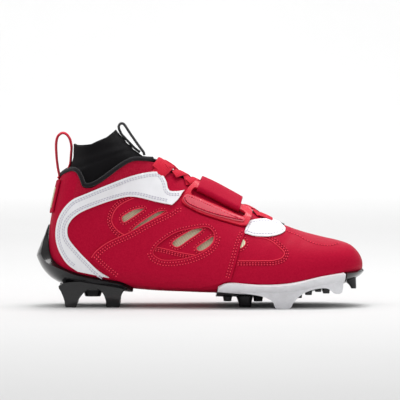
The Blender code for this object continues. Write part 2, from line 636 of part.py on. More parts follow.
def make_sock():
    """The knitted sock: lines the heel and the ankle, and stands out of the collar."""
    columns = RING_COLUMNS
    rows = 10
    angle = np.tile(np.linspace(0, 2 * math.pi, columns + 1), (rows, 1))
    folded = np.degrees(np.minimum(angle[0], 2 * math.pi - angle[0]))
    top = table(SOCK_TOP, "angle", "ring", folded)
    share = np.linspace(0, 1, rows)[:, None]
    ring = SOCK_FRONT_RING + (top[None] - SOCK_FRONT_RING) * share
    far = -(UPPER_WALL + LINING_FIT)
    near = far - SOCK_WALL
    outside = surface(ring[:, :-1], angle[:, :-1], far).reshape(-1, 3)
    inner = surface(ring[:, :-1], angle[:, :-1], near).reshape(-1, 3)
    return shell("sock", "black_knit", inner, outside, grid_faces(rows, columns, closed=True))


def make_tongue():
    """The padded tongue under the throat, wider than the throat by an overlap on each side."""
    rows, columns = 13, 7
    rings = np.linspace(TONGUE_RINGS[0], TONGUE_RINGS[1], rows)
    half = np.radians(table(THROAT, "ring", "angle", np.maximum(rings, TONGUE_WIDE_FROM_RING)) + TONGUE_OVERLAP)
    ring = np.tile(rings[:, None], (1, columns))
    angle = half[:, None] * np.linspace(-1, 1, columns)[None]
    far = -(UPPER_WALL + TONGUE_FIT)
    return patch("tongue", "black_knit", ring, angle, far - TONGUE_THICKNESS, far)


def make_insole():
    """The insole: lies on the upper's base, over the plates' openings."""
    rows, columns = 14, 8
    ring = np.tile(np.linspace(INSOLE_RINGS[0], INSOLE_RINGS[1], rows)[:, None], (1, columns))
    spread = math.radians(180 - INSOLE_ANGLE)
    angle = np.tile(math.pi + spread * np.linspace(-1, 1, columns), (rows, 1))
    far = -(UPPER_WALL + INSOLE_FIT)
    return patch("insole", "grey_foam", ring, angle, far - INSOLE_THICKNESS, far)


def make_last_body():
    """The whole last as one solid, a little larger. It ends the studs inside the wall of their plate."""
    rows, columns = 44, RING_COLUMNS
    ring = np.tile(np.linspace(0, 19, rows)[:, None], (1, columns))
    angle = np.tile(np.linspace(0, 2 * math.pi, columns, endpoint=False), (rows, 1))
    points = surface(ring, angle, SNUG + STUD_SEAT).reshape(-1, 3)
    bm = bmesh.new()
    verts = [bm.verts.new(p) for p in points]
    for face in grid_faces(rows, columns, closed=True):
        bm.faces.new([verts[i] for i in face])
    bm.faces.new(verts[:columns])
    bm.faces.new(verts[-columns:])
    return helper(add_object("last_body", bm, None))


def stud_body(name, stud, side, last_body):
    """A tapered stud from its tip up into the last, with the last's room cut out of it."""
    bm = bmesh.new()
    corners = 12
    root_across = stud.across - stud.lean
    levels = (
        (stud.tip, stud.tip_long, stud.tip_wide, stud.across, stud.rise),
        (
            stud.tip + (stud.root - stud.tip) * STUD_WAIST,
            stud.tip_long + (stud.root_long - stud.tip_long) * STUD_WAIST,
            stud.tip_wide + (stud.root_wide - stud.tip_wide) * STUD_WAIST,
            stud.across - stud.lean * STUD_WAIST,
            stud.rise + stud.tall * STUD_WAIST_HEIGHT,
        ),
        (stud.root, stud.root_long, stud.root_wide, root_across, stud.rise + stud.tall),
        (stud.root, stud.root_long, stud.root_wide, root_across, stud.rise + stud.tall + stud.depth),
    )
    loops = []
    for centre, long, wide, across, z in levels:
        x = (centre / 100 - 0.5) * LENGTH
        loop = []
        for k in range(corners):
            turn = 2 * math.pi * k / corners
            loop.append(bm.verts.new((
                x + long / 2 * squarish(math.cos(turn)),
                -side * across + wide / 2 * squarish(math.sin(turn)),
                z,
            )))
        loops.append(loop)
    bm.faces.new(list(reversed(loops[0])))
    bm.faces.new(loops[-1])
    for lower, upper in zip(loops, loops[1:]):
        for k in range(corners):
            m = (k + 1) % corners
            bm.faces.new([lower[k], lower[m], upper[m], upper[k]])
    made = helper(add_object(name, bm, None))
    boolean(made, "DIFFERENCE", last_body)
    return made


def squarish(value):
    """Fills a circle's sine or cosine out towards a square with round corners."""
    return math.copysign(abs(value) ** STUD_ROUNDING, value)


def edge_places(columns, rows):
    """(ring, angle) along an edge drawn on the side, in even steps."""
    line = metres(columns)
    fine = smooth_through(line, np.linspace(0, len(line) - 1, len(line) * 8))
    lengths = np.concatenate([[0], np.cumsum(np.linalg.norm(np.diff(fine, axis=0), axis=1))])
    at = np.linspace(0, lengths[-1], rows)
    points = np.stack([np.interp(at, lengths, fine[:, axis]) for axis in range(2)], axis=1)
    return place_on_side(points)


def make_rear_plate(last_body):
    """The hard heel plate: wraps up into a heel cup with a spur, and carries four studs."""
    rows, columns = 18, 11
    rings, edge = edge_places(REAR_PLATE_EDGE, rows)
    edge = np.minimum(edge, math.radians(HEEL_PLATE_LOWEST_EDGE))
    ring = np.tile(rings[:, None], (1, columns))
    angle = math.pi + (math.pi - edge)[:, None] * np.linspace(-1, 1, columns)[None]
    behind = np.degrees(np.abs(angle - math.pi))
    spur = table(SPUR_RINGS, "ring", "share", ring) / 100 * np.clip(1 - behind / SPUR_ANGLE, 0, 1) ** SPUR_FALL
    plate = patch("rear_plate", "black_plastic", ring, angle, SNUG, SNUG + PLATE_THICKNESS + SPUR_DEPTH * spur)
    for word, stud in HEEL_STUDS.items():
        for side, end in ((OUTER, "outer"), (INNER, "inner")):
            boolean(plate, "UNION", stud_body(f"heel_stud_{word}_{end}", stud, side, last_body))
    return plate


def rail_edges(rows):
    top = edge_places(RAIL_TOP, rows)
    bottom_ring, bottom_angle = edge_places(RAIL_BOTTOM, rows * 3)
    order = np.argsort(bottom_ring)
    return top[0], top[1], np.interp(top[0], bottom_ring[order], bottom_angle[order])


def make_rails(last_body):
    """The glossy side rails of the forefoot, each with a big stud at the ball and a small one near the toe."""
    rows, columns = 15, 5
    rings, top, bottom = rail_edges(rows)
    ring = np.tile(rings[:, None], (1, columns))
    angle = top[:, None] + (bottom - top)[:, None] * np.linspace(0, 1, columns)[None]
    made = []
    for side, word in ((OUTER, "lateral"), (INNER, "medial")):
        rail = patch(f"forefoot_rail_{word}", "white_plastic", ring, side * angle, SNUG, SNUG + RAIL_THICKNESS)
        for stud_word, stud in RAIL_STUDS.items():
            boolean(rail, "UNION", stud_body(f"rail_stud_{stud_word}_{word}", stud, side, last_body))
        made.append(rail)
    return made


def make_fore_plate(last_body):
    """The black forefoot plate between the rails, with its toe end and its own studs."""
    rail_rings, _, rail_bottom = rail_edges(30)
    toe_rings, toe_edge = edge_places(TOE_PLATE_EDGE, 12)
    front = rail_rings.min()
    columns = 9
    between = np.linspace(FORE_PLATE_START_RING, front - TOE_PLATE_LAP[0], 14)
    ahead = np.linspace(front - TOE_PLATE_LAP[1], TOE_PLATE_RING, 5)
    order = np.argsort(rail_rings)
    low_edge = np.interp(between, rail_rings[order], rail_bottom[order]) + math.radians(PLATE_GAP_ANGLE)
    high_edge = np.interp(ahead, toe_rings, toe_edge)
    at = np.concatenate([between, ahead])
    edge = np.concatenate([low_edge, high_edge])
    ring = np.tile(at[:, None], (1, columns))
    angle = math.pi + (math.pi - edge)[:, None] * np.linspace(-1, 1, columns)[None]
    thickness = PLATE_THICKNESS * (1 - TOE_PLATE_THINNING * np.clip((front - ring) / front, 0, 1))
    plate = patch("forefoot_plate", "black_plastic", ring, angle, SNUG, SNUG + thickness)
    for word, stud in FORE_STUDS.items():
        for side, end in ((OUTER, "outer"), (INNER, "inner")):
            boolean(plate, "UNION", stud_body(f"fore_stud_{word}_{end}", stud, side, last_body))
    return plate


def make_collar_roll():
    """The textile roll along the collar's edge, from one side of the throat round the heel to the other."""
    angle = collar_angles()
    ring = table(COLLAR, "angle", "ring", np.degrees(np.minimum(angle, 2 * math.pi - angle)))
    edge = surface(ring, angle, ROLL_OUTSET)
    along = np.gradient(edge, axis=0)
    along /= np.linalg.norm(along, axis=1)[:, None]
    upwards = surface(ring + 0.1, angle, ROLL_OUTSET) - edge
    upwards -= along * (upwards * along).sum(axis=1)[:, None]
    upwards /= np.linalg.norm(upwards, axis=1)[:, None]
    centre = edge + upwards * (ROLL_RADIUS + ROLL_FIT)
    across = np.cross(along, upwards)
    across /= np.linalg.norm(across, axis=1)[:, None]
    upright = np.cross(across, along)
    sides = 8
    bm = bmesh.new()
    loops = []
    for i in range(len(centre)):
        loop = []
        for k in range(sides):
            turn = 2 * math.pi * k / sides
            offset = across[i] * math.cos(turn) + upright[i] * math.sin(turn)
            loop.append(bm.verts.new(centre[i] + offset * ROLL_RADIUS))
        loops.append(loop)
    for first, second in zip(loops, loops[1:]):
        for k in range(sides):
            m = (k + 1) % sides
            bm.faces.new([first[k], first[m], second[m], second[k]])
    bm.faces.new(list(reversed(loops[0])))
    bm.faces.new(loops[-1])
    return add_object("collar_roll", bm, "black_knit")


def make_overlays():
    """The panels that are sewn on the upper, for each side."""
    near, far = SNUG, SNUG + OVERLAY_THICKNESS
    back = -(UPPER_WALL + TONGUE_FIT)
    band = {key: BAND_UPPER_EDGE[key] + BAND_LOWER_EDGE[key] for key in ("along", "up")}
    band_corners = (0, len(BAND_UPPER_EDGE["along"]) - 1, len(BAND_UPPER_EDGE["along"]) + 2, len(band["along"]) - 1)
    for side, word in ((OUTER, "lateral"), (INNER, "medial")):
        side_panel(f"side_band_{word}", "white_leather", band, side, near, far, corners=band_corners)
        holes = (WINDOW,)
        side_panel(f"wing_panel_{word}", "red_leather", WING_OUTLINE, side, near, far, holes, WING_CORNERS)
        side_panel(f"eyestay_{word}", "white_leather", EYESTAY_OUTLINE, side, near, far, step=PANEL_STEP * 0.8)
        side_panel(f"vent_mesh_{word}", "beige_mesh", MESH_OUTLINE, side, back - MESH_THICKNESS, back)


def make_heel_tab():
    """The raised patch on the back of the heel."""
    rows, columns = 5, 6
    ring = np.tile(np.linspace(*HEEL_TAB_RINGS, rows)[:, None], (1, columns))
    spread = math.radians(180 - HEEL_TAB_ANGLE)
    angle = np.tile(math.pi + spread * np.linspace(-1, 1, columns), (rows, 1))
    return patch("heel_tab", "red_leather", ring, angle, SNUG, SNUG + OVERLAY_THICKNESS)


def make_strap_loop():
    """The stiff loop on the outer side that the strap is folded through, with its sewn pad."""
    foot = metres({"along": LOOP_OUTLINE["along"][1:5], "up": LOOP_OUTLINE["up"][1:5]})
    foot_ring, foot_angle = place_on_side(foot)
    order = np.argsort(foot_ring)

    def near(ring, angle):
        above = np.interp(ring, foot_ring[order], foot_angle[order]) - angle
        return SNUG + LOOP_RISE * np.clip(above / math.radians(LOOP_TILT_ANGLE), 0, 1)

    def far(ring, angle):
        return near(ring, angle) + LOOP_THICKNESS

    def pad_near(ring, angle):
        return far(ring, angle) + FIT

    def pad_far(ring, angle):
        return pad_near(ring, angle) + PAD_THICKNESS

    step = PANEL_STEP * 0.65
    side_panel("strap_loop", "red_plastic", LOOP_OUTLINE, OUTER, near, far, (LOOP_HOLE,), LOOP_CORNERS, step)
    side_panel("strap_loop_pad", "red_leather", PAD_OUTLINE, OUTER, pad_near, pad_far, step=step)


def make_strap():
    """The strap: over the laces from the inner side, round the loop's upper bar and back under it."""
    bar = metres({key: LOOP_HOLE[key][-LOOP_BAR_POINTS:] for key in ("along", "up")})
    bar_rings, bar_angles = place_on_side(bar)
    order = np.argsort(bar_rings)
    rings = np.linspace(*STRAP_RINGS, 6)
    metres_a_radian = RADIAN_ROUND_INSTEP * BALL_WIDTH
    inner_radius = STRAP_FOLD_RADIUS - STRAP_THICKNESS / 2
    room = math.sqrt(inner_radius**2 - (LOOP_THICKNESS / 2) ** 2) - FIT
    end = np.interp(rings, bar_rings[order], bar_angles[order]) - room / metres_a_radian
    run = np.linspace(0, 1, 15)
    start = math.radians(STRAP_START_ANGLE)
    angles = [start + (end - start) * share for share in run]
    lifts = list(np.interp(run * 100, STRAP_RUN["share"], STRAP_RUN["rise"]) / 100 * STRAP_RISE)
    middle = lifts[-1] - STRAP_FOLD_RADIUS
    for k in range(1, 5):
        turn = math.pi * k / 5
        angles.append(end + STRAP_FOLD_RADIUS * math.sin(turn) / metres_a_radian)
        lifts.append(middle + STRAP_FOLD_RADIUS * math.cos(turn))
    for back in (0, math.radians(STRAP_RETURN_ANGLE)):
        angles.append(end - back)
        lifts.append(middle - STRAP_FOLD_RADIUS)
    angle = np.stack(angles, axis=1)
    ring = np.tile(rings[:, None], (1, angle.shape[1]))
    centre = surface(ring, angle, np.array(lifts)[None])
    along = np.gradient(centre, axis=1)
    across = np.gradient(centre, axis=0)
    normal = np.cross(along, across)
    normal /= np.linalg.norm(normal, axis=2)[..., None]
    half = normal * STRAP_THICKNESS / 2
    return shell("strap", "red_leather", (centre - half).reshape(-1, 3), (centre + half).reshape(-1, 3),
                 grid_faces(*ring.shape))


def strip(start, end, width):
    """A flat strip between two places, its ends cut along the shoe or, if it lies straight across, square."""
    start, end = np.array(start), np.array(end)
    along = (end - start) / np.linalg.norm(end - start)
    half = np.array([width / 2 / abs(along[1]), 0])
    corners = [start - half, end - half, end + half, start + half]
    loop = [even_steps(np.array(pair), LACE_STEP, smooth=False)[:-1] for pair in zip(corners, corners[1:] + corners[:1])]
    return np.concatenate(loop)


def make_laces():
    """The lace bars and crossings over the tongue, as one lattice clear of tongue, upper and strap."""
    rows = [((along / 100 - 0.5) * LENGTH, half) for along, half in LACE_ROWS]
    strips = []
    for (x, half), (next_x, next_half) in zip(rows, rows[1:]):
        strips.append(strip((x, -half), (next_x, next_half), LACE_WIDTH))
        strips.append(strip((x, half), (next_x, -next_half), LACE_WIDTH))
    for x, half in (rows[0], rows[-1]):
        strips.append(strip((x, -half), (x, half), LACE_WIDTH))

    def keep(points):
        kept = np.zeros(len(points), bool)
        for loop in strips:
            kept |= inside(points, loop)
        return kept

    points, faces = flat_triangles(strips, keep, LACE_STEP)
    ring, angle = place_on_crest(points)
    return shell("laces", "red_webbing", surface(ring, angle, LACE_LIFT), surface(ring, angle, LACE_LIFT + LACE_THICKNESS),
                 [tuple(face) for face in faces])


def on_middle(rings, angle, lift):
    """Side-view points (x, z) on the shoe's middle line at some rings, a lift off the last."""
    return surface(np.array(rings, float), np.full(len(rings), angle), lift)[:, [0, 2]]


def pull(name, look, line, thickness, width):
    """A flat band that follows a line drawn on the side, with its width across the shoe."""
    line = even_steps(line, PULL_STEP)
    along = np.gradient(line, axis=0)
    along /= np.linalg.norm(along, axis=1)[:, None]
    beside = np.stack([-along[:, 1], along[:, 0]], axis=1) * thickness / 2
    bm = bmesh.new()
    loops = []
    for point, away in zip(line, beside):
        corners = ((point - away, -1), (point + away, -1), (point + away, 1), (point - away, 1))
        loops.append([bm.verts.new((p[0], side * width / 2, p[1])) for p, side in corners])
    for first, second in zip(loops, loops[1:]):
        for k in range(4):
            m = (k + 1) % 4
            bm.faces.new([first[k], first[m], second[m], second[k]])
    bm.faces.new(list(reversed(loops[0])))
    bm.faces.new(loops[-1])
    return add_object(name, bm, look)


def make_pulls():
    """The heel's webbing loop, from the heel tab over to the sock, and the band loop on the sock's front."""
    half = PULL_THICKNESS / 2
    on_sock = -(UPPER_WALL + LINING_FIT) + FIT + half
    on_tab = SNUG + OVERLAY_THICKNESS + FIT + half
    heel_foot = on_middle(HEEL_PULL_RINGS[:1], math.pi, on_tab)
    past_roll = on_middle(HEEL_PULL_RINGS[1:], math.pi, HEEL_PULL_RISE)
    heel_back = on_middle(HEEL_PULL_FAR_RINGS, math.pi, on_sock + PULL_STAND_OFF)
    line = np.concatenate([heel_foot, past_roll, metres(HEEL_PULL_FREE), heel_back])
    pull("heel_pull", "red_webbing", line, PULL_THICKNESS, PULL_WIDTH)
    front_foot = on_middle(TONGUE_PULL_RINGS, 0.0, on_sock + PULL_STAND_OFF)
    sock_front = on_middle(TONGUE_PULL_FAR_RINGS, 0.0, on_sock + PULL_STAND_OFF)
    line = np.concatenate([front_foot, metres(TONGUE_PULL_FREE), sock_front])
    pull("tongue_pull", "black_knit", line, PULL_THICKNESS, PULL_WIDTH)


def main():
    for old in list(bpy.data.objects):
        bpy.data.objects.remove(old)
    last_body = make_last_body()
    make_upper()
    make_sock()
    make_tongue()
    make_insole()
    make_rear_plate(last_body)
    make_fore_plate(last_body)
    make_rails(last_body)
    make_collar_roll()
    make_overlays()
    make_heel_tab()
    make_strap_loop()
    make_strap()
    make_laces()
    make_pulls()


main()
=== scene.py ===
"""Dresses the right football cleat: fine leather, knit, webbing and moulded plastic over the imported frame."""

import functools
import math

import bmesh
import bpy
import numpy as np
from bpy.props import FloatProperty, FloatVectorProperty, PointerProperty
from bpy.types import Operator, Panel, PropertyGroup
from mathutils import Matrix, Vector
from mathutils.geometry import delaunay_2d_cdt


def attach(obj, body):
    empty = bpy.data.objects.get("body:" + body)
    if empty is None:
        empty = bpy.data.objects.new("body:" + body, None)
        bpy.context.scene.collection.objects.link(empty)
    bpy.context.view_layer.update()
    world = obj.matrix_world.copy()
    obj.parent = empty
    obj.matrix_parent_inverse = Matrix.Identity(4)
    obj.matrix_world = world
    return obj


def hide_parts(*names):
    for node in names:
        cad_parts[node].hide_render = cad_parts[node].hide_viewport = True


bl_info = {
    "name": "Football Cleat",
    "version": (1, 0, 0),
    "blender": (4, 5, 0),
    "location": "View3D > Sidebar > Cleat",
    "description": "Builds the looks of a right football cleat over its packed frame",
    "category": "Object",
}

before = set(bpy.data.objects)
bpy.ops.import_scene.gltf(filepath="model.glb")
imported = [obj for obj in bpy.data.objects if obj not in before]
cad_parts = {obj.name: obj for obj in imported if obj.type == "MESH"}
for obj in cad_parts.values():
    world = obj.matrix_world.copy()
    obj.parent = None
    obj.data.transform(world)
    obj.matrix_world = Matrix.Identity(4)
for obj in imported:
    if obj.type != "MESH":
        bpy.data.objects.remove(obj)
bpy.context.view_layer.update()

OUTER, INNER = 1, -1
SIDES = ((OUTER, "lateral"), (INNER, "medial"))


# Sizes and colours

class CleatSizes(PropertyGroup):
    length: FloatProperty(
        name="Length", description="Heel spur to toe", default=0.298, unit="LENGTH",
    )
    instep_height: FloatProperty(
        name="Instep height", description="Sole line to instep", default=0.1216, unit="LENGTH",
    )
    heel_height: FloatProperty(
        name="Heel height", description="Sole line to heel top", default=0.1042, unit="LENGTH",
    )
    toe_spring: FloatProperty(
        name="Toe spring", description="Rise of the toe", default=0.0224, unit="LENGTH",
    )
    sole_lift: FloatProperty(
        name="Sole lift", description="Floor to the upper's base", default=0.0125, unit="LENGTH",
    )
    ball_width: FloatProperty(
        name="Ball width", description="Width at the ball", default=0.100, unit="LENGTH",
    )
    heel_width: FloatProperty(
        name="Heel width", description="Width at the heel", default=0.067, unit="LENGTH",
    )
    upper_wall: FloatProperty(
        name="Upper wall", description="Thickness of the upper", default=0.0022, unit="LENGTH",
    )
    overlay: FloatProperty(
        name="Overlay", description="Thickness of a sewn panel", default=0.0012, unit="LENGTH",
    )
    stitch_pitch: FloatProperty(
        name="Stitch pitch", description="Stitch to stitch", default=0.0026, unit="LENGTH",
    )
    stitch_length: FloatProperty(
        name="Stitch length", description="Length of one stitch", default=0.00155, unit="LENGTH",
    )


class CleatColours(PropertyGroup):
    red: FloatVectorProperty(
        name="Red", description="Upper leather", subtype="COLOR", size=3, default=(0.475, 0.0008, 0.030),
    )
    bright_red: FloatVectorProperty(
        name="Bright red", description="Thread, webbing and loop", subtype="COLOR", size=3,
        default=(0.70, 0.010, 0.040),
    )
    white: FloatVectorProperty(
        name="White", description="Band leather", subtype="COLOR", size=3, default=(0.90, 0.90, 0.93),
    )
    black: FloatVectorProperty(
        name="Black", description="Knit and plates", subtype="COLOR", size=3, default=(0.006, 0.0055, 0.0065),
    )
    mesh: FloatVectorProperty(
        name="Mesh", description="Vent mesh", subtype="COLOR", size=3, default=(1.0, 0.93, 0.60),
    )


def sizes():
    return bpy.context.scene.cleat_sizes


def colours():
    return bpy.context.scene.cleat_colours


# The last, as in the part's source: a row a ring from the toe to the sock's top

FRONT_SECTIONS = (
    (99.9, 22.2, 99.9, 100, 4.0, 4.0, 50, 2.00, 2.00, 5.0, 5.0),
    (99.5, 25.9, 99.5, 90, 12.5, 12.0, 56, 2.10, 2.10, 5.0, 5.0),
    (98.3, 30.8, 98.4, 78, 21.0, 20.0, 60, 2.20, 2.20, 5.0, 4.5),
    (96.0, 35.7, 96.0, 61, 29.5, 28.0, 64, 2.30, 2.30, 4.5, 4.0),
    (92.3, 38.9, 92.3, 45, 37.0, 35.5, 68, 2.35, 2.30, 4.0, 3.0),
    (86.7, 42.1, 86.7, 27, 43.5, 42.0, 72, 2.30, 2.35, 3.5, 2.0),
    (80.6, 46.2, 79.7, 12, 48.0, 47.0, 76, 2.15, 2.40, 3.5, 1.0),
    (73.9, 52.3, 72.0, 4, 50.5, 49.5, 79, 2.00, 2.45, 4.0, 0.5),
    (67.1, 59.8, 63.7, 0, 50.0, 47.5, 81, 1.90, 2.50, 5.0, 0.0),
)
REAR_SECTIONS = (
    (60.4, 68.4, 54.8, 0.0, 70.0, 64.5, 82, 1.80, 2.50, 8.0, 0.0),
    (54.2, 76.7, 45.0, 0.9, 64.5, 58.0, 83, 1.75, 2.50, 8.0, 0.0),
    (48.7, 83.1, 34.6, 2.2, 59.5, 54.5, 83, 1.75, 2.50, 7.0, 0.0),
    (44.1, 88.7, 23.6, 5.3, 55.5, 53.0, 83, 1.80, 2.45, 6.0, 0.0),
    (40.4, 94.4, 13.7, 9.2, 53.0, 52.0, 82, 1.85, 2.40, 4.0, 0.0),
    (37.7, 98.9, 7.0, 15.8, 51.5, 51.0, 79, 1.90, 2.25, 3.0, 0.0),
    (35.5, 101.1, 3.9, 32.5, 50.0, 50.0, 75, 1.95, 2.15, 1.5, 0.0),
    (34.0, 102.6, 3.6, 50.0, 49.0, 49.0, 72, 2.00, 2.10, 0.0, 0.0),
    (32.8, 104.5, 4.4, 67.5, 47.5, 47.5, 69, 2.00, 2.10, 0.0, 0.0),
    (31.5, 106.8, 5.6, 84.2, 46.0, 46.0, 65, 2.00, 2.10, 0.0, 0.0),
    (30.3, 109.0, 7.0, 100.0, 44.5, 44.5, 60, 2.00, 2.10, 0.0, 0.0),
    (28.8, 112.8, 9.4, 110.0, 42.0, 42.0, 57, 2.00, 2.10, 0.0, 0.0),
    (26.9, 117.7, 10.2, 119.5, 40.5, 40.5, 55, 2.00, 2.10, 0.0, 0.0),
    (24.9, 123.7, 10.4, 131.0, 40.0, 40.0, 53, 2.00, 2.10, 0.0, 0.0),
)
RINGS = len(FRONT_SECTIONS) + len(REAR_SECTIONS) - 1

# Edges on the last, in rings and degrees
COLLAR = {
    "angle": (0, 12, 16, 21, 28, 38, 52, 68, 78, 86, 98, 108, 118, 132, 155, 180),
    "ring": (13.9, 14.0, 14.7, 15.7, 16.65, 17.15, 17.15, 17.0, 17.05, 17.4, 18.2, 18.75, 19.1, 19.35, 19.3,
             19.0),
}
THROAT = {
    "ring": (6.75, 6.85, 7.1, 7.5, 8.2, 10.0, 12.0, 13.0, 14.0),
    "angle": (1.0, 5.0, 8.0, 10.0, 11.0, 10.0, 13.0, 14.0, 12.5),
}
SOCK_TOP = {"angle": (0, 25, 60, 100, 140, 180), "ring": (22, 21.8, 21.4, 21.3, 21.6, 21.9)}

# Side outlines: per cent of the length from the heel spur, per cent of the instep height above the sole line
BAND_UPPER_EDGE = {
    "along": (12.9, 9.7, 7.4, 6.4, 6.6, 7.9, 11.0, 16.2, 22.3, 28.5, 34.6, 37.7, 39.5, 40.4, 42.9, 45.2),
    "up": (17.6, 23.3, 32.3, 41.4, 51.1, 60.2, 69.9, 75.9, 82.0, 87.6, 90.4, 89.5, 83.5, 76.7, 75.9, 76.6),
}
BAND_LOWER_EDGE = {
    "along": (45.0, 43.4, 41.4, 36.1, 31.5, 28.5, 25.4, 19.3, 13.1, 10.1, 10.1, 13.1, 16.0, 19.0, 22.4),
    "up": (76.4, 70.5, 66.0, 68.8, 71.8, 72.6, 71.4, 66.9, 60.2, 51.9, 42.1, 32.3, 25.0, 18.2, 12.9),
}
WING_OUTLINE = {
    "along": (17.0, 18.6, 22.3, 28.5, 34.6, 40.2, 42.9, 44.8, 49.9, 56.1, 62.9, 63.6, 62.2, 60.4, 59.3,
              49.9, 37.7, 28.7, 24.6, 20.5),
    "up": (27.5, 32.6, 39.1, 45.9, 54.1, 60.6, 64.8, 64.8, 58.4, 53.4, 48.6, 45.5, 36.1, 20.3, 11.2,
           6.4, 6.6, 8.8, 11.8, 19.4),
}
WING_CORNERS = (0, 7, 10, 14, 18)
WINDOW = {
    "along": (35.8, 37.7, 42.6, 48.4, 52.4, 54.4, 53.9, 50.9, 45.3, 39.2, 36.3),
    "up": (32.3, 38.3, 45.9, 49.2, 49.6, 44.4, 37.6, 31.6, 26.7, 25.6, 28.6),
}
SLOTS = (
    {"along": (26.1, 27.0, 30.0, 33.2, 30.6, 27.0), "up": (57.0, 59.4, 63.2, 64.0, 59.0, 53.6)},
    {"along": (29.3, 32.1, 37.1, 39.3, 35.8, 29.9), "up": (48.4, 54.1, 61.5, 61.5, 56.0, 47.2)},
    {"along": (41.4, 43.8, 48.0, 51.0, 46.6, 43.2), "up": (38.3, 43.2, 48.7, 48.5, 40.6, 35.3)},
    {"along": (48.8, 51.5, 54.1, 53.8, 51.8, 49.9), "up": (35.0, 39.8, 43.6, 38.5, 34.2, 32.4)},
)
MESH_OUTLINE = {
    "along": (24.6, 26.0, 30.0, 35.0, 41.0, 50.0, 55.8, 55.6, 52.0, 47.0, 41.0, 33.0, 27.0),
    "up": (52.5, 61.5, 66.2, 67.0, 65.0, 52.5, 46.5, 35.5, 29.5, 29.5, 31.0, 41.5, 47.0),
}
EYESTAY_OUTLINE = {
    "along": (63.3, 64.1, 64.9, 67.7, 71.6, 73.9, 75.5, 76.2, 75.4, 73.6, 70.8, 66.8, 64.7),
    "up": (45.4, 50.0, 54.0, 55.0, 54.6, 52.4, 49.6, 47.2, 45.2, 43.5, 42.7, 43.1, 44.4),
}
EYESTAY_CORNERS = (0, 2)
LOOP_OUTLINE = {
    "along": (44.2, 45.5, 49.9, 56.1, 62.2, 64.2, 65.2, 65.4, 64.3, 62.8, 56.1, 49.6, 48.0, 46.0),
    "up": (69.0, 65.6, 60.0, 54.8, 50.4, 50.6, 54.4, 58.6, 61.4, 62.6, 71.6, 80.0, 81.0, 76.6),
}
LOOP_CORNERS = (0, 4, 8, 11)
LOOP_HOLE = {
    "along": (47.0, 49.6, 56.1, 61.6, 63.1, 63.4, 62.2, 56.1, 50.0, 47.8),
    "up": (72.6, 69.4, 62.4, 56.2, 55.6, 57.4, 59.6, 67.2, 74.8, 76.6),
}
PAD_OUTLINE = {
    "along": (44.9, 46.6, 53.0, 59.1, 63.0, 63.4, 62.6, 59.1, 53.0, 46.9, 45.0),
    "up": (71.0, 71.6, 64.6, 57.8, 54.0, 52.8, 52.0, 54.0, 58.2, 64.2, 68.2),
}
REAR_VENT_EDGE = {
    "along": (30.0, 26.9, 24.8, 23.6, 23.1, 23.9, 25.4, 27.2),
    "up": (71.8, 68.4, 64.7, 60.2, 54.9, 50.4, 46.6, 44.0),
}
WINDOW_SEAM = {"along": (36.7, 39.2, 42.3, 45.3, 48.4), "up": (35.3, 34.2, 32.3, 30.8, 29.7)}
FRONT_VENT = {
    "along": (62.2, 66.8, 69.9, 72.0, 74.5, 75.4, 75.7, 74.8, 72.9, 71.4, 61.6),
    "up": (42.9, 42.9, 41.7, 39.1, 34.6, 32.3, 30.8, 27.8, 26.3, 25.8, 25.6),
}
FRONT_SLOT = {"along": (61.9, 63.1, 63.9, 63.5, 62.2), "up": (41.2, 41.4, 39.3, 36.6, 34.8)}
TOE_SEAM = {
    "along": (76.3, 79.1, 81.5, 83.1, 85.2, 87.4, 89.8, 92.3),
    "up": (46.6, 44.4, 41.4, 39.5, 37.6, 36.5, 36.1, 37.2),
}
REAR_PLATE_EDGE = {
    "along": (3.9, 3.8, 4.6, 7.0, 12.2, 19.3, 25.4, 27.9, 29.7),
    "up": (50.4, 38.3, 27.8, 21.8, 16.2, 12.4, 9.8, 7.4, 4.8),
}
SPUR_RINGS = {"ring": (12.5, 14.0, 14.6, 15.1, 15.5, 16.0, 16.5), "share": (0.0, 42, 82, 100, 48, 16, 0)}
RAIL_TOP = {"along": (55.6, 59.1, 68.3, 77.5, 86.7, 93.6), "up": (7.0, 9.6, 8.3, 9.4, 13.9, 16.4)}
RAIL_BOTTOM = {"along": (55.6, 60.0, 68.3, 77.5, 86.7, 93.4), "up": (5.0, 4.2, 3.2, 3.6, 8.2, 11.0)}
TOE_PLATE_EDGE = {"along": (99.2, 98.0, 96.0, 93.0), "up": (17.4, 17.2, 16.9, 16.4)}

# Studs of the middle plate: root and tip place, root and tip length, root and tip width, distance from the
# middle, lean, tip height, height, depth into the plate
FORE_STUDS = (
    (63.6, 63.8, 0.0160, 0.0110, 0.0125, 0.0085, 0.0185, 0.0010, 0.0, 0.0100, 0.0045),
    (95.6, 97.0, 0.0130, 0.0050, 0.0140, 0.0080, 0.0100, 0.0000, 0.0165, 0.0080, 0.0045),
)
# Small lugs: place, length, width, distance from the middle, lowest point
FORE_LUGS = (
    (80.4, 0.0055, 0.0050, 0.0270, 0.0089),
    (83.1, 0.0085, 0.0056, 0.0225, 0.0113),
    (86.1, 0.0080, 0.0056, 0.0175, 0.0138),
    (88.6, 0.0085, 0.0060, 0.0125, 0.0120),
    (67.8, 0.0110, 0.0070, 0.0080, 0.0045),
    (58.4, 0.0100, 0.0070, 0.0200, 0.0055),
)
HEEL_LUGS = ((17.2, 0.0200, 0.0180, 0.0085, 0.0092),)
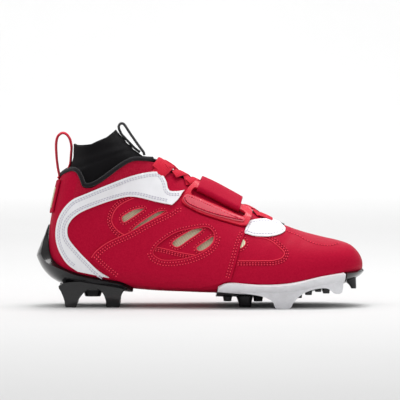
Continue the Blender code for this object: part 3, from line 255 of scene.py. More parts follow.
# Side outlines of the blades below the plates, as along and up columns
HEEL_BLADE = {
    "along": (7.0, 7.0, 7.6, 8.6, 9.1, 12.0, 12.8, 13.8, 15.2, 17.1, 19.0, 20.5, 21.3, 21.6, 25.2, 25.7, 26.6,
              28.2, 29.6, 27.8, 22.0, 14.0, 9.5),
    "up": (6.0, 3.4, 1.2, -5.0, -10.28, -10.28, -5.2, -1.5, 2.3, 4.8, 3.8, 0.0, -5.3, -10.28, -10.28, -4.0,
           1.5, 4.2, 5.2, 6.0, 7.4, 9.0, 8.4),
}
RAIL_BLADE = {
    "along": (55.8, 59.1, 65.3, 69.0, 71.1, 72.2, 73.3, 77.1, 78.2, 79.4, 80.6, 82.1, 84.3, 86.7, 88.6, 89.8,
              91.0, 93.3, 93.4, 90.0, 86.7, 77.5, 68.3, 60.0, 55.8),
    "up": (5.4, 3.8, 0.8, -1.1, -3.4, -5.6, -10.28, -10.28, -6.8, -3.0, -0.4, 1.9, 3.8, 4.8, 4.6, 3.0, 0.6,
           1.5, 13.0, 12.2, 11.0, 6.0, 5.0, 6.0, 7.0),
}

# Creases in the leather: from (ring, degrees) to (ring, degrees), half width and depth in millimetres.
# A negative depth is a ridge.
CREASES = (
    (6.2, 18, 6.9, 62, 3.0, 0.50),
    (6.7, 24, 7.5, 70, 3.5, -0.40),
    (5.6, 14, 6.0, 52, 3.0, 0.30),
    (7.4, 96, 8.3, 118, 5.0, 0.35),
    (9.6, 92, 10.6, 120, 6.0, 0.40),
    (11.3, 100, 12.6, 122, 7.0, 0.45),
    (14.6, 60, 16.2, 74, 4.0, 0.50),
    (15.2, 50, 16.6, 58, 3.0, -0.35),
    (16.4, 96, 17.6, 118, 5.0, 0.45),
    (14.6, 104, 16.2, 112, 6.0, -0.30),
    (13.2, 42, 14.6, 58, 5.0, 0.35),
)
STRAP_RINGS = (8.75, 10.8)
STRAP_START_ANGLE = -78
STRAP_THICKNESS, STRAP_RISE, STRAP_FOLD_RADIUS = 0.0016, 0.0065, 0.0026
STRAP_RUN = {"share": (0, 11, 25, 38, 54, 65, 75, 85, 100), "rise": (46, 47, 62, 86, 100, 104, 104, 103, 100)}


def unit(vectors):
    return vectors / (np.linalg.norm(vectors, axis=-1, keepdims=True) + 1e-12)


def metres(columns):
    along = np.array(columns["along"], float) / 100
    up = np.array(columns["up"], float) / 100
    s = sizes()
    return np.stack([(along - 0.5) * s.length, s.sole_lift + up * s.instep_height], axis=1)


def smooth_through(rows, at):
    rows = np.asarray(rows, float)
    last = len(rows) - 1
    at = np.clip(np.asarray(at, float), 0, last)
    first = np.minimum(at.astype(int), last - 1)
    t = (at - first)[:, None]
    a, b, c = rows[np.maximum(first - 1, 0)], rows[first], rows[first + 1]
    d = rows[np.minimum(first + 2, last)]
    return 0.5 * (2 * b + (c - a) * t + (2 * a - 5 * b + 4 * c - d) * t**2 + (3 * b - a - 3 * c + d) * t**3)


@functools.cache
def last_rows():
    s = sizes()
    rows = []
    front = (FRONT_SECTIONS, s.toe_spring, s.ball_width)
    rear = (REAR_SECTIONS, s.heel_height, s.heel_width)
    for table, rise, width in (front, rear):
        for top_x, top_z, base_x, base_z, outer, inner, widest, crown, keel, crest, base in table:
            rows.append([
                (top_x / 100 - 0.5) * s.length, s.sole_lift + top_z / 100 * s.instep_height,
                (base_x / 100 - 0.5) * s.length, s.sole_lift + base_z / 100 * rise,
                outer / 100 * width, inner / 100 * width, widest / 100, crown, keel,
                crest / 100 * width, base / 100 * width,
            ])
    return np.array(rows)


def on_last(ring, angle):
    columns = smooth_through(last_rows(), ring).T
    top_x, top_z, base_x, base_z, outer, inner, widest, crown, keel, crest, base = columns
    down, out = np.cos(angle), np.sin(angle)
    fullness = np.where(down >= 0, crown, keel)
    fall = np.abs(down) ** (2 / fullness)
    share = np.where(down >= 0, widest * (1 - fall), widest + (1 - widest) * fall)
    half = np.where(out >= 0, outer, inner) * np.abs(out) ** (2 / fullness)
    y = crest + (base - crest) * share - np.sign(out) * half
    return np.stack([top_x + (base_x - top_x) * share, y, top_z + (base_z - top_z) * share], axis=1)


def unrolled(ring, angle):
    """Places on the last laid out flat, about true to size."""
    rings = np.linspace(0, RINGS, 200)
    side = on_last(rings, np.full(len(rings), math.radians(100)))
    travelled = np.concatenate([[0], np.cumsum(np.linalg.norm(np.diff(side, axis=0), axis=1))])
    return np.stack([np.interp(ring, rings, travelled), np.asarray(angle) * sizes().ball_width / 2], axis=1)


def rolled(flat):
    rings = np.linspace(0, RINGS, 200)
    ends = unrolled(rings, np.zeros(len(rings)))[:, 0]
    return np.interp(flat[:, 0], ends, rings), flat[:, 1] / (sizes().ball_width / 2)


def relief(ring, angle):
    """How far the leather's soft creases lift or sink it at each place."""
    folded = np.abs((np.asarray(angle) + math.pi) % (2 * math.pi) - math.pi)
    at = unrolled(ring, folded)
    lift = np.zeros(len(at))
    for ring_a, angle_a, ring_b, angle_b, width, depth in CREASES:
        ends = unrolled(np.array([ring_a, ring_b]), np.radians([angle_a, angle_b]))
        span = ends[1] - ends[0]
        along = np.clip(((at - ends[0]) @ span) / (span @ span), 0, 1)
        away = np.linalg.norm(at - ends[0] - along[:, None] * span, axis=1)
        fade = np.sin(math.pi * np.clip(along, 0.08, 0.92)) ** 0.7
        lift -= depth / 1000 * fade * np.exp(-((away / (width / 1000)) ** 2))
    return lift


def surface(ring, angle, lift=0.0, creased=True):
    """Points that stand off the last by lift at each (ring, angle), creased unless told not to."""
    ring, angle, lift = np.broadcast_arrays(*(np.asarray(values, float) for values in (ring, angle, lift)))
    shape = ring.shape
    ring, angle, lift = ring.ravel(), angle.ravel(), lift.ravel()
    step = 0.02
    along = on_last(np.minimum(ring + step, RINGS), angle) - on_last(np.maximum(ring - step, 0), angle)
    round_it = on_last(ring, angle + step) - on_last(ring, angle - step)
    normal = unit(np.cross(along, round_it))
    if creased:
        lift = lift + relief(ring, angle)
    return (on_last(ring, angle) + normal * lift[:, None]).reshape(shape + (3,))


def place_on_side(points):
    """(ring, angle) of each side-view point (x, z)."""
    points = np.asarray(points, float)
    sections = last_rows()
    low, high = np.zeros(len(points)), np.full(len(points), float(RINGS))
    for _ in range(40):
        middle = (low + high) / 2
        row = smooth_through(sections, middle)
        span_x, span_z = row[:, 2] - row[:, 0], row[:, 3] - row[:, 1]
        turn = span_x * (points[:, 1] - row[:, 1]) - span_z * (points[:, 0] - row[:, 0])
        low, high = np.where(turn < 0, middle, low), np.where(turn < 0, high, middle)
    ring = (low + high) / 2
    row = smooth_through(sections, ring)
    span_x, span_z = row[:, 2] - row[:, 0], row[:, 3] - row[:, 1]
    share = span_x * (points[:, 0] - row[:, 0]) + span_z * (points[:, 1] - row[:, 1])
    share = np.clip(share / (span_x**2 + span_z**2), 0.001, 0.999)
    widest, crown, keel = row[:, 6], row[:, 7], row[:, 8]
    above = np.clip((widest - share) / widest, 0, 1) ** (crown / 2)
    below = np.clip((share - widest) / (1 - widest), 0, 1) ** (keel / 2)
    return ring, np.where(share < widest, np.arccos(above), math.pi - np.arccos(below))


def place_on_crest(points):
    """(ring, angle) of each point (x of the crest line, y across it)."""
    points = np.asarray(points, float)
    rings = np.linspace(0, RINGS, 400)
    ring = np.interp(-points[:, 0], -smooth_through(last_rows(), rings)[:, 0], rings)
    row = smooth_through(last_rows(), ring)
    half = np.where(points[:, 1] < 0, row[:, 4], row[:, 5])
    angle = np.arcsin(np.clip(np.abs(points[:, 1]) / half, 0, 0.98) ** (row[:, 7] / 2))
    return ring, np.where(points[:, 1] < 0, angle, -angle)


def even_steps(points, step, smooth=True):
    points = np.asarray(points, float)
    if smooth:
        points = smooth_through(points, np.linspace(0, len(points) - 1, len(points) * 8))
    travelled = np.concatenate([[0], np.cumsum(np.linalg.norm(np.diff(points, axis=0), axis=1))])
    at = np.linspace(0, travelled[-1], max(2, int(round(travelled[-1] / step)) + 1))
    return np.stack([np.interp(at, travelled, points[:, axis]) for axis in range(points.shape[1])], axis=1)


SEAM_STEP = 0.002


def side_line(columns, part=slice(None)):
    """A side line, or the part of its points that is asked for, in even steps."""
    return even_steps(metres(columns)[part], SEAM_STEP)


def part_of(columns, part):
    return {key: columns[key][part] for key in ("along", "up")}


def outline(columns, step, corners=()):
    """A closed side outline in metres, smooth between its corners."""
    points = metres(columns)
    count = len(points)
    if corners:
        runs = zip(corners, corners[1:] + (corners[0] + count,))
        return np.concatenate([even_steps(points[np.arange(a, b + 1) % count], step)[:-1] for a, b in runs])
    lap = np.concatenate([points[-2:], points, points[:3]])
    fine = smooth_through(lap, np.linspace(2, count + 2, count * 10, endpoint=False))
    return even_steps(np.concatenate([fine, fine[:1]]), step, smooth=False)[:-1]


def beside(line, distance, closed=False):
    """A line's parallel, to its left if distance is positive."""
    if closed:
        along = np.roll(line, -1, axis=0) - np.roll(line, 1, axis=0)
    else:
        along = np.gradient(line, axis=0)
    along = unit(along)
    return line + np.stack([-along[:, 1], along[:, 0]], axis=1) * distance


def inside(points, loop):
    x, z = points[:, 0][:, None], points[:, 1][:, None]
    ax, az = loop[:, 0], loop[:, 1]
    bx, bz = np.roll(ax, -1), np.roll(az, -1)
    crosses = (az > z) != (bz > z)
    reach = (bx - ax) * (z - az) / np.where(bz == az, 1e-12, bz - az) + ax
    return (crosses & (x < reach)).sum(axis=1) % 2 == 1


# Materials

def principled(name, colour, roughness, coat=0.0, sheen=0.0, specular=0.5):
    made = bpy.data.materials.new(name)
    made.use_nodes = True
    shader = made.node_tree.nodes["Principled BSDF"]
    shader.inputs["Base Color"].default_value = (*colour, 1)
    shader.inputs["Roughness"].default_value = roughness
    shader.inputs["Coat Weight"].default_value = coat
    shader.inputs["Coat Roughness"].default_value = 0.12
    shader.inputs["Sheen Weight"].default_value = sheen
    shader.inputs["Sheen Roughness"].default_value = 0.4
    shader.inputs["Specular IOR Level"].default_value = specular
    return made


def node(made, kind, **values):
    new = made.node_tree.nodes.new(kind)
    for key, value in values.items():
        if key in new.inputs:
            new.inputs[key].default_value = value
        else:
            setattr(new, key, value)
    return new


def link(made, source, target):
    made.node_tree.links.new(source, target)


def coordinates(made, of="Object"):
    return node(made, "ShaderNodeTexCoord").outputs[of]


def noise(made, place, scale, detail=3.0, rough=0.55):
    new = node(made, "ShaderNodeTexNoise", Scale=scale, Detail=detail, Roughness=rough)
    link(made, place, new.inputs["Vector"])
    return new.outputs["Fac"]


def cells(made, place, scale):
    new = node(made, "ShaderNodeTexVoronoi", Scale=scale)
    link(made, place, new.inputs["Vector"])
    return new.outputs["Distance"]


def wave(made, place, scale, direction):
    new = node(made, "ShaderNodeTexWave", Scale=scale)
    new.bands_direction = direction
    link(made, place, new.inputs["Vector"])
    return new.outputs["Fac"]


def combine(made, first, second, operation="MULTIPLY"):
    new = node(made, "ShaderNodeMath")
    new.operation = operation
    link(made, first, new.inputs[0])
    link(made, second, new.inputs[1])
    return new.outputs[0]


def bumps(made, heights):
    """Chains bump nodes: rows of (height socket, strength, distance in metres)."""
    shader = made.node_tree.nodes["Principled BSDF"]
    previous = None
    for height, strength, distance in heights:
        new = node(made, "ShaderNodeBump", Strength=strength, Distance=distance)
        link(made, height, new.inputs["Height"])
        if previous:
            link(made, previous, new.inputs["Normal"])
        previous = new.outputs["Normal"]
    link(made, previous, shader.inputs["Normal"])


def tint(made, driver, dark, light, low=0.3, high=0.7):
    """Varies the base colour between two shades."""
    ramp = node(made, "ShaderNodeValToRGB")
    ramp.color_ramp.elements[0].position = low
    ramp.color_ramp.elements[1].position = high
    ramp.color_ramp.elements[0].color = (*dark, 1)
    ramp.color_ramp.elements[1].color = (*light, 1)
    link(made, driver, ramp.inputs["Fac"])
    link(made, ramp.outputs["Color"], made.node_tree.nodes["Principled BSDF"].inputs["Base Color"])


def gloss(made, driver, low, high):
    """Varies the roughness."""
    spread = node(made, "ShaderNodeMapRange")
    spread.inputs["To Min"].default_value = low
    spread.inputs["To Max"].default_value = high
    link(made, driver, spread.inputs["Value"])
    link(made, spread.outputs["Result"], made.node_tree.nodes["Principled BSDF"].inputs["Roughness"])


def shade(colour, factor):
    return tuple(min(1.0, c * factor) for c in colour)


def mixed(first, second, share):
    return tuple(a + (b - a) * share for a, b in zip(first, second))


def red_upper(name, c):
    """Fine red leather or, above the band, a textile with pale flecks."""
    rough = {"red leather": 0.46, "soft red leather": 0.50, "speckled red textile": 0.62}[name]
    made = principled(name, c.red, rough, specular=0.05)
    place = coordinates(made)
    grain = cells(made, place, 900)
    broad = noise(made, place, 45, 4.0)
    fine = noise(made, place, 1500, 2.0)
    if name == "speckled red textile":
        pale = mixed(c.red, (0.80, 0.18, 0.22), 0.09)
        tint(made, noise(made, place, 900, 3.0, 0.8), shade(c.red, 0.80), pale, 0.36, 0.72)
        bumps(made, [(noise(made, place, 900, 2.0), 0.5, 0.0002), (fine, 0.3, 0.0001)])
    else:
        pale = mixed(shade(c.red, 1.06), (0.8, 0.2, 0.24), 0.03)
        tint(made, noise(made, place, 700, 4.0, 0.8), shade(c.red, 0.86), pale)
        bumps(made, [(broad, 0.12, 0.0006), (grain, 0.40, 0.00016), (fine, 0.30, 0.00008)])
    gloss(made, broad, rough - 0.06, rough + 0.10)


def white_leather(name, c):
    made = principled(name, c.white, 0.45, specular=0.15)
    place = coordinates(made)
    broad = noise(made, place, 60, 4.0)
    tint(made, broad, shade(c.white, 0.95), shade(c.white, 1.03))
    bumps(made, [(broad, 0.10, 0.0005), (cells(made, place, 1100), 0.14, 0.00008)])
    gloss(made, broad, 0.36, 0.52)


def glossy_red(name, c):
    """The loop's plastic, or its pad in a lighter, pinker red that paints its reflection."""
    # The pink mixed into the pad's red is a painted reflection.
    pink = mixed(c.bright_red, (0.78, 0.22, 0.27), 0.42)
    colour = c.bright_red if name == "bright red plastic" else pink
    made = principled(name, colour, 0.30, coat=0.15, specular=0.30)
    broad = noise(made, coordinates(made), 80, 3.0)
    gloss(made, broad, 0.20, 0.36)
    bumps(made, [(broad, 0.06, 0.0004)])


def plate_plastic(name, c):
    """Hard glossy plastic with faint scuffs."""
    black = name == "black plastic"
    colour = c.black if black else shade(c.white, 0.96)
    made = principled(name, colour, 0.22, coat=0.35, specular=0.35)
    place = coordinates(made)
    scuffs = noise(made, place, 130, 5.0, 0.65)
    gloss(made, scuffs, 0.10 if black else 0.14, 0.30)
    tint(made, scuffs, shade(colour, 0.9), shade(colour, 1.25 if black else 1.02))
    bumps(made, [(noise(made, place, 55, 2.0), 0.05, 0.0006)])


def black_textile(name, c):
    """The sock's knit, or the coarser textile of the roll, its black lightened to paint a sheen."""
    knit = name == "black knit"
    # The roll's black, raised 2.4 times, is a painted sheen.
    black = shade(c.black, 1.35 if knit else 2.4)
    made = principled(name, black, 0.85, sheen=0.05 if knit else 0.25, specular=0.12)
    place = coordinates(made, "UV")
    across, along = (620, 520) if knit else (420, 420)
    loops = combine(made, wave(made, place, across, "X"), wave(made, place, along, "Y"))
    tint(made, loops, shade(black, 0.6), shade(black, 2.6), 0.25, 0.95)
    bumps(made, [(loops, 0.7, 0.00035), (noise(made, coordinates(made), 160, 3.0), 0.35, 0.0005)])


def red_weave(name, c):
    made = principled(name, c.bright_red, 0.68, sheen=0.08, specular=0.15)
    place = coordinates(made, "UV")
    weave = combine(made, wave(made, place, 330, "X"), wave(made, place, 470, "DIAGONAL"), "MAXIMUM")
    tint(made, weave, shade(c.bright_red, 0.62), shade(c.bright_red, 1.12), 0.1, 0.8)
    bumps(made, [(weave, 0.8, 0.0004)])


def vent_mesh(name, c):
    made = principled(name, c.mesh, 0.6, specular=0.3)
    place = coordinates(made, "UV")
    both = combine(made, wave(made, place, 190, "X"), wave(made, place, 420, "Y"), "MAXIMUM")
    tint(made, both, shade(c.mesh, 0.50), shade(c.mesh, 1.15), 0.15, 0.85)
    bumps(made, [(both, 0.9, 0.0006)])


def foam_cover(name, c):
    made = principled(name, (0.05, 0.05, 0.055), 0.85, sheen=0.2)
    place = coordinates(made)
    bumps(made, [(cells(made, place, 700), 0.4, 0.0003)])
    tint(made, noise(made, place, 300), (0.03, 0.03, 0.034), (0.08, 0.08, 0.086))


def twisted_thread(name, c):
    """Thread, a dark strip of painted shade for the groove that it presses in, or a welt's edge in a brighter
    red that paints its highlight.
    """
    colour = {
        "red thread": (0.95, 0.06, 0.11),
        "white thread": (0.60, 0.58, 0.68),
        # The two groove colours are darkened leather that paints the shade in the grooves by the stitches.
        "red groove": shade(c.red, 0.60),
        "white groove": shade(c.white, 0.90),
        # A welt edge's brighter red is a painted highlight.
        "bright red edge": (0.80, 0.045, 0.085),
    }[name]
    made = principled(name, colour, 0.6, specular=0.05)
    twist = wave(made, coordinates(made), 900, "DIAGONAL")
    tint(made, twist, shade(colour, 0.85), shade(colour, 1.08))
    bumps(made, [(twist, 0.3, 0.0001)])


def pale_floor(name, c):
    made = principled(name, (0.66, 0.66, 0.66), 0.8, specular=0.0)
    tint(made, noise(made, coordinates(made), 3), (0.655, 0.655, 0.655), (0.665, 0.665, 0.665))


FINISHES = {
    red_upper: ("red leather", "soft red leather", "speckled red textile"),
    white_leather: ("white leather",),
    glossy_red: ("bright red plastic", "pink-lit red pad"),
    plate_plastic: ("black plastic", "white plastic"),
    black_textile: ("black knit", "black roll textile"),
    red_weave: ("red webbing", "red lace"),
    vent_mesh: ("beige mesh",),
    foam_cover: ("grey foam cover",),
    twisted_thread: ("red thread", "white thread", "red groove", "white groove", "bright red edge"),
    pale_floor: ("pale floor",),
}


def finish_of(name):
    """The finish with this name, made at its first use."""
    if name not in bpy.data.materials:
        make = next(function for function, names in FINISHES.items() if name in names)
        make(name, colours())
    return bpy.data.materials[name]


# Making pieces

def linked(name, bm):
    """A bmesh as an object of the scene."""
    mesh = bpy.data.meshes.new(name)
    bm.to_mesh(mesh)
    bm.free()
    made = bpy.data.objects.new(name, mesh)
    bpy.context.scene.collection.objects.link(made)
    return made


def smooth(piece, creased_edge):
    piece.data.shade_smooth()
    piece.data.set_sharp_from_angle(angle=math.radians(creased_edge))


def round_edges(piece, width):
    rounded = piece.modifiers.new("rounded edges", "BEVEL")
    rounded.width = width
    rounded.segments = 2
    rounded.limit_method = "ANGLE"
    rounded.angle_limit = math.radians(50)


def add_piece(name, bm, look, nodes=(), bevel=0.0, creased_edge=38):
    """A bmesh as a finished piece on the frame."""
    bmesh.ops.remove_doubles(bm, verts=bm.verts, dist=1e-6)
    bmesh.ops.recalc_face_normals(bm, faces=bm.faces)
    if bm.calc_volume(signed=True) < 0:
        bmesh.ops.reverse_faces(bm, faces=bm.faces)
    piece = linked(name, bm)
    smooth(piece, creased_edge)
    piece.data.materials.append(finish_of(look))
    if bevel:
        round_edges(piece, bevel)
    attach(piece, "root")
    if nodes:
        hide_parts(*nodes)
    return piece


def extruded(bm, faces=None):
    """Doubles the faces, with walls between the two layers, and gives the new vertices."""
    made = bmesh.ops.extrude_face_region(bm, geom=faces or bm.faces[:], use_keep_orig=True)
    return {item for item in made["geom"] if isinstance(item, bmesh.types.BMVert)}


def map_flat(bm, flat):
    """A UV map in metres, from each vertex's flat place."""
    layer = bm.loops.layers.uv.new("UVMap")
    bm.verts.index_update()
    for face in bm.faces:
        for loop in face.loops:
            loop[layer].uv = flat[loop.vert.index]


def thicken(bm, near, far, side=OUTER, creased=True):
    """Turns a flat sheet of (ring, angle) places into a solid on the last."""
    new = extruded(bm)
    verts = list(bm.verts)
    ring = np.array([v.co.x for v in verts])
    angle = np.array([v.co.y for v in verts])
    is_far = np.array([v in new for v in verts])
    near, far = (lift(ring, angle) if callable(lift) else lift for lift in (near, far))
    map_flat(bm, unrolled(ring, angle))
    for v, point in zip(verts, surface(ring, side * angle, np.where(is_far, far, near), creased)):
        v.co = point


def weld(bm):
    """Closes a sheet that was rolled all the way round, and takes out the walls where its long edges meet."""
    bmesh.ops.remove_doubles(bm, verts=bm.verts, dist=1e-5)
    walls = [face for face in bm.faces if sum(len(edge.link_faces) > 2 for edge in face.edges) >= 2]
    bmesh.ops.delete(bm, geom=walls, context="FACES")


def join_body(piece, bm, operation):
    """Cuts a bmesh out of a piece, or joins it on."""
    bmesh.ops.recalc_face_normals(bm, faces=bm.faces)
    body = linked("body", bm)
    change = piece.modifiers.new("body", "BOOLEAN")
    change.operation = operation
    change.solver = "EXACT"
    change.object = body
    bpy.context.view_layer.update()
    changed = bpy.data.meshes.new_from_object(piece.evaluated_get(bpy.context.evaluated_depsgraph_get()))
    piece.modifiers.clear()
    piece.data = changed
    bpy.data.objects.remove(body)


def grid_sheet(ring_low, ring_high, rows, angle_low, angle_high, columns):
    """A flat grid of places: x is the ring, y the angle."""
    bm = bmesh.new()
    bmesh.ops.create_grid(bm, x_segments=rows, y_segments=columns, size=0.5)
    for v in bm.verts:
        v.co.x = ring_low + (v.co.x + 0.5) * (ring_high - ring_low)
        v.co.y = angle_low + (v.co.y + 0.5) * (angle_high - angle_low)
    return bm


def fill(loops, step):
    """Divides a flat area into triangles: the first loop is its edge, the others holes."""

    def keep(points):
        kept = inside(points, loops[0])
        for hole in loops[1:]:
            kept &= ~inside(points, hole)
        return kept

    border = np.concatenate(loops)
    edges, start = [], 0
    for loop in loops:
        edges += [(start + i, start + (i + 1) % len(loop)) for i in range(len(loop))]
        start += len(loop)
    low, high = border.min(axis=0), border.max(axis=0)
    rows, columns = np.arange(low[1] + step / 2, high[1], step * 0.87), np.arange(low[0], high[0], step)
    across, along = np.meshgrid(rows, columns)
    along = along + (np.round((across - low[1]) / (step * 0.87) - 0.57) % 2) * step / 2
    filling = np.stack([along.ravel(), across.ravel()], axis=1)
    filling = filling[keep(filling)]
    far = np.linalg.norm(filling[:, None] - border[None], axis=2).min(axis=1) > step * 0.6
    spots = [Vector(p) for p in np.concatenate([border, filling[far]])]
    points, _, faces, *_ = delaunay_2d_cdt(spots, edges, [], 0, 1e-7)
    points = np.array([tuple(p) for p in points])
    kept = keep(np.array([points[list(face)].mean(axis=0) for face in faces]))
    return points, [face for face, wanted in zip(faces, kept) if wanted]


def sheet_of(points, faces):
    """A bmesh of triangles, without the points that none uses."""
    bm = bmesh.new()
    verts = [bm.verts.new(point) for point in points]
    for face in faces:
        bm.faces.new([verts[i] for i in face])
    bmesh.ops.delete(bm, geom=[v for v in bm.verts if not v.link_faces], context="VERTS")
    return bm


def cut_sheet(loops, step):
    """A flat sheet of places on the last, cut to side outlines."""
    points, faces = fill([unrolled(*place_on_side(loop)) for loop in loops], step)
    return sheet_of([(r, a, 0) for r, a in zip(*rolled(points))], faces)


def blade(loop, outer, inner, side, step=0.0025):
    """An upright blade with a side outline: outer and inner give how far out its faces stand at (x, z)."""
    points, faces = fill([loop], step)
    bm = sheet_of([(x, 0, z) for x, z in points], faces)
    new = extruded(bm)
    for v in bm.verts:
        v.co.y = -side * (inner if v in new else outer)(v.co.x, v.co.z)
    return bm


def panel(name, columns, side, near, far, look, nodes=(), holes=(), corners=(), step=0.0028,
          bevel=0.00045):
    loops = [outline(columns, step, corners)] + [outline(hole, step * 0.7) for hole in holes]
    bm = cut_sheet(loops, step)
    thicken(bm, near, far, side)
    return add_piece(name, bm, look, nodes, bevel)


def tube(bm, centre, radius, sides=6, flat=1.0, up=None):
    """Adds a closed tube along points, by extruding a ring of vertices along it."""
    centre = np.asarray(centre, float)
    along = unit(np.gradient(centre, axis=0))
    if up is None:
        up = np.tile([0.0, 0.0, 1.0], (len(centre), 1))
    over = unit(np.cross(along, up))
    up = np.cross(over, along)
    radius = np.broadcast_to(radius, (len(centre),))
    layer = bm.loops.layers.uv.verify()
    rings = []
    for i, point in enumerate(centre):
        turn = 2 * np.pi * np.arange(sides) / sides
        spots = point + (np.cos(turn)[:, None] * over[i] + np.sin(turn)[:, None] * up[i] * flat) * radius[i]
        rings.append([bm.verts.new(p) for p in spots])
    travelled = np.concatenate([[0], np.cumsum(np.linalg.norm(np.diff(centre, axis=0), axis=1))])
    for i, (first, second) in enumerate(zip(rings, rings[1:])):
        for k in range(sides):
            m = (k + 1) % sides
            face = bm.faces.new([first[k], first[m], second[m], second[k]])
            around = 2 * math.pi * radius[i] / sides
            places = ((i, k), (i, k + 1), (i + 1, k + 1), (i + 1, k))
            for loop, (row, column) in zip(face.loops, places):
                loop[layer].uv = (travelled[row], column * around)
    bm.faces.new(list(reversed(rings[0])))
    bm.faces.new(rings[-1])


def bead(bm, line, side, lift, radius, closed=False):
    """A thin welt along a side line."""
    if closed:
        line = np.concatenate([line, line[:1]])
    ring, angle = place_on_side(line)
    tube(bm, surface(ring, side * angle, lift), radius)


# Half a stitch's width, its height, how deep it is sunk, and the half width and flatness of the painted groove
# shade
STITCH_HALF_WIDTH, STITCH_HEIGHT, STITCH_SUNK = 0.00052, 0.00036, 0.0002
SEAM_SHADE_HALF_WIDTH, SEAM_SHADE_FLATNESS, SEAM_SHADE_SUNK = 0.00066, 0.16, 0.00002


def stitches(bm, points, normals):
    """Thread stitches along points on a surface, each a small rounded dash sunk a little at its ends."""
    along = unit(np.gradient(points, axis=0))
    half, wide, high = sizes().stitch_length / 2, STITCH_HALF_WIDTH, STITCH_HEIGHT
    for point, way, normal in zip(points, along, normals):
        over = np.cross(normal, way)
        ends = ((-half, 0.55), (-half * 0.5, 1.0), (half * 0.5, 1.0), (half, 0.55))
        loops = []
        for reach, full in ends:
            middle = point + way * reach
            loops.append([
                bm.verts.new(middle - over * wide * full - normal * STITCH_SUNK),
                bm.verts.new(middle - over * wide * full * 0.6 + normal * high * full),
                bm.verts.new(middle + over * wide * full * 0.6 + normal * high * full),
                bm.verts.new(middle + over * wide * full - normal * STITCH_SUNK),
            ])
        for first, second in zip(loops, loops[1:]):
            for k in range(4):
                m = (k + 1) % 4
                bm.faces.new([first[k], first[m], second[m], second[k]])
        bm.faces.new(list(reversed(loops[0])))
        bm.faces.new(loops[-1])


def sew(bm, line, side, lift, painted_seam_shade=None):
    """Stitches along a side line, at a lift off the last, over a dark strip of painted shade for the groove
    they press in.
    """
    line = even_steps(line, sizes().stitch_pitch, smooth=False)
    ring, angle = place_on_side(line)
    points = surface(ring, side * angle, lift)
    normals = unit(surface(ring, side * angle, lift + 0.001) - points)
    stitches(bm, points, normals)
    # The dark strip under the stitches paints the shade of their groove.
    if painted_seam_shade:
        tube(painted_seam_shade, points - normals * SEAM_SHADE_SUNK, SEAM_SHADE_HALF_WIDTH, 6, SEAM_SHADE_FLATNESS, normals)


# The pieces

def collar_ring(angle):
    folded = np.degrees(np.abs((np.asarray(angle) + math.pi) % (2 * math.pi) - math.pi))
    return np.interp(folded, COLLAR["angle"], COLLAR["ring"])


def throat_angle(ring):
    return np.radians(np.interp(ring, THROAT["ring"], THROAT["angle"]))


# The upper's grid: rows, columns, the first ring, the ring where the collar takes over from the throat, and
# the shares of the rows up to the throat's front and up to that ring
UPPER_ROWS, UPPER_COLUMNS = 150, 132
TOE_START, COLLAR_START = 0.05, 13.6
TOE_SHARE, THROAT_SHARE = 0.36, 0.74
# Where the plates close the upper from below: rings, and degrees to each side of the base
PLATE_OPENINGS, PLATE_OPENING_REACH = ((3.0, 7.6), (12.0, 13.6)), 48
SLOT_CUTTER_OUT, SLOT_CUTTER_DEPTH = 0.08, 0.07


class CLEAT_OT_upper(Operator):
    """The leather upper with its vents, open at collar and throat"""

    bl_idname = "cleat.upper"
    bl_label = "Upper"

    def execute(self, context):
        bm = bmesh.new()
        bmesh.ops.create_grid(bm, x_segments=UPPER_ROWS, y_segments=UPPER_COLUMNS, size=0.5)
        start = THROAT["ring"][0]
        for v in bm.verts:
            t, share = v.co.x + 0.5, v.co.y + 0.5
            if t < TOE_SHARE:
                ring, edge = TOE_START + (start - TOE_START) * (t / TOE_SHARE) ** 1.15, 0.0
            elif t < THROAT_SHARE:
                ring = start + (COLLAR_START - start) * (t - TOE_SHARE) / (THROAT_SHARE - TOE_SHARE)
                edge = float(throat_angle(ring))
            else:
                edge = float(throat_angle(COLLAR_START))
                top = float(collar_ring(edge + (2 * math.pi - 2 * edge) * share))
                ring = COLLAR_START + (top - COLLAR_START) * (t - THROAT_SHARE) / (1 - THROAT_SHARE)
            v.co = (ring, edge + (2 * math.pi - 2 * edge) * share, 0)
        gone = []
        for face in bm.faces:
            middle = face.calc_center_median()
            below = abs(math.degrees(middle.y) - 180) < PLATE_OPENING_REACH
            if below and any(low < middle.x < high for low, high in PLATE_OPENINGS):
                gone.append(face)
        bmesh.ops.delete(bm, geom=gone, context="FACES")
        sheet = set(bm.faces)
        tip = [edge for edge in bm.edges if all(v.co.x < TOE_START + 0.001 for v in edge.verts)]
        thicken(bm, -sizes().upper_wall, 0.0)
        rim = {face for edge in tip for face in edge.link_faces} - sheet
        bmesh.ops.delete(bm, geom=list(rim), context="FACES")
        weld(bm)
        bmesh.ops.holes_fill(bm, edges=[e for e in bm.edges if e.is_boundary], sides=0)
        piece = add_piece("upper_leather", bm, "red leather", ["upper"], creased_edge=60)
        piece.data.materials.append(finish_of("speckled red textile"))
        centres = np.array([tuple(face.center) for face in piece.data.polygons])
        ring, angle = place_on_side(centres[:, [0, 2]])
        edge_ring, edge_angle = place_on_side(metres(BAND_UPPER_EDGE)[5:12])
        order = np.argsort(edge_ring)
        above = angle < np.interp(ring, edge_ring[order], edge_angle[order])
        for face, textile in zip(piece.data.polygons, above & (ring > 12.8)):
            face.material_index = int(textile)
        cutter = bmesh.new()
        for slot in SLOTS:
            loop = outline(slot, 0.0014)
            for side in (OUTER, INNER):
                face = cutter.faces.new([cutter.verts.new((x, -side * SLOT_CUTTER_OUT, z)) for x, z in loop])
                moved = list(extruded(cutter, [face]))
                bmesh.ops.translate(cutter, verts=moved, vec=(0, side * SLOT_CUTTER_DEPTH, 0))
        join_body(piece, cutter, "DIFFERENCE")
        return {"FINISHED"}


# How far off the last a sewn panel starts, what its thickness is added to, and the mesh's gap and thickness
PANEL_NEAR, PANEL_FAR = 0.0004, 0.0005
MESH_GAP, MESH_THICKNESS = 0.0008, 0.0008


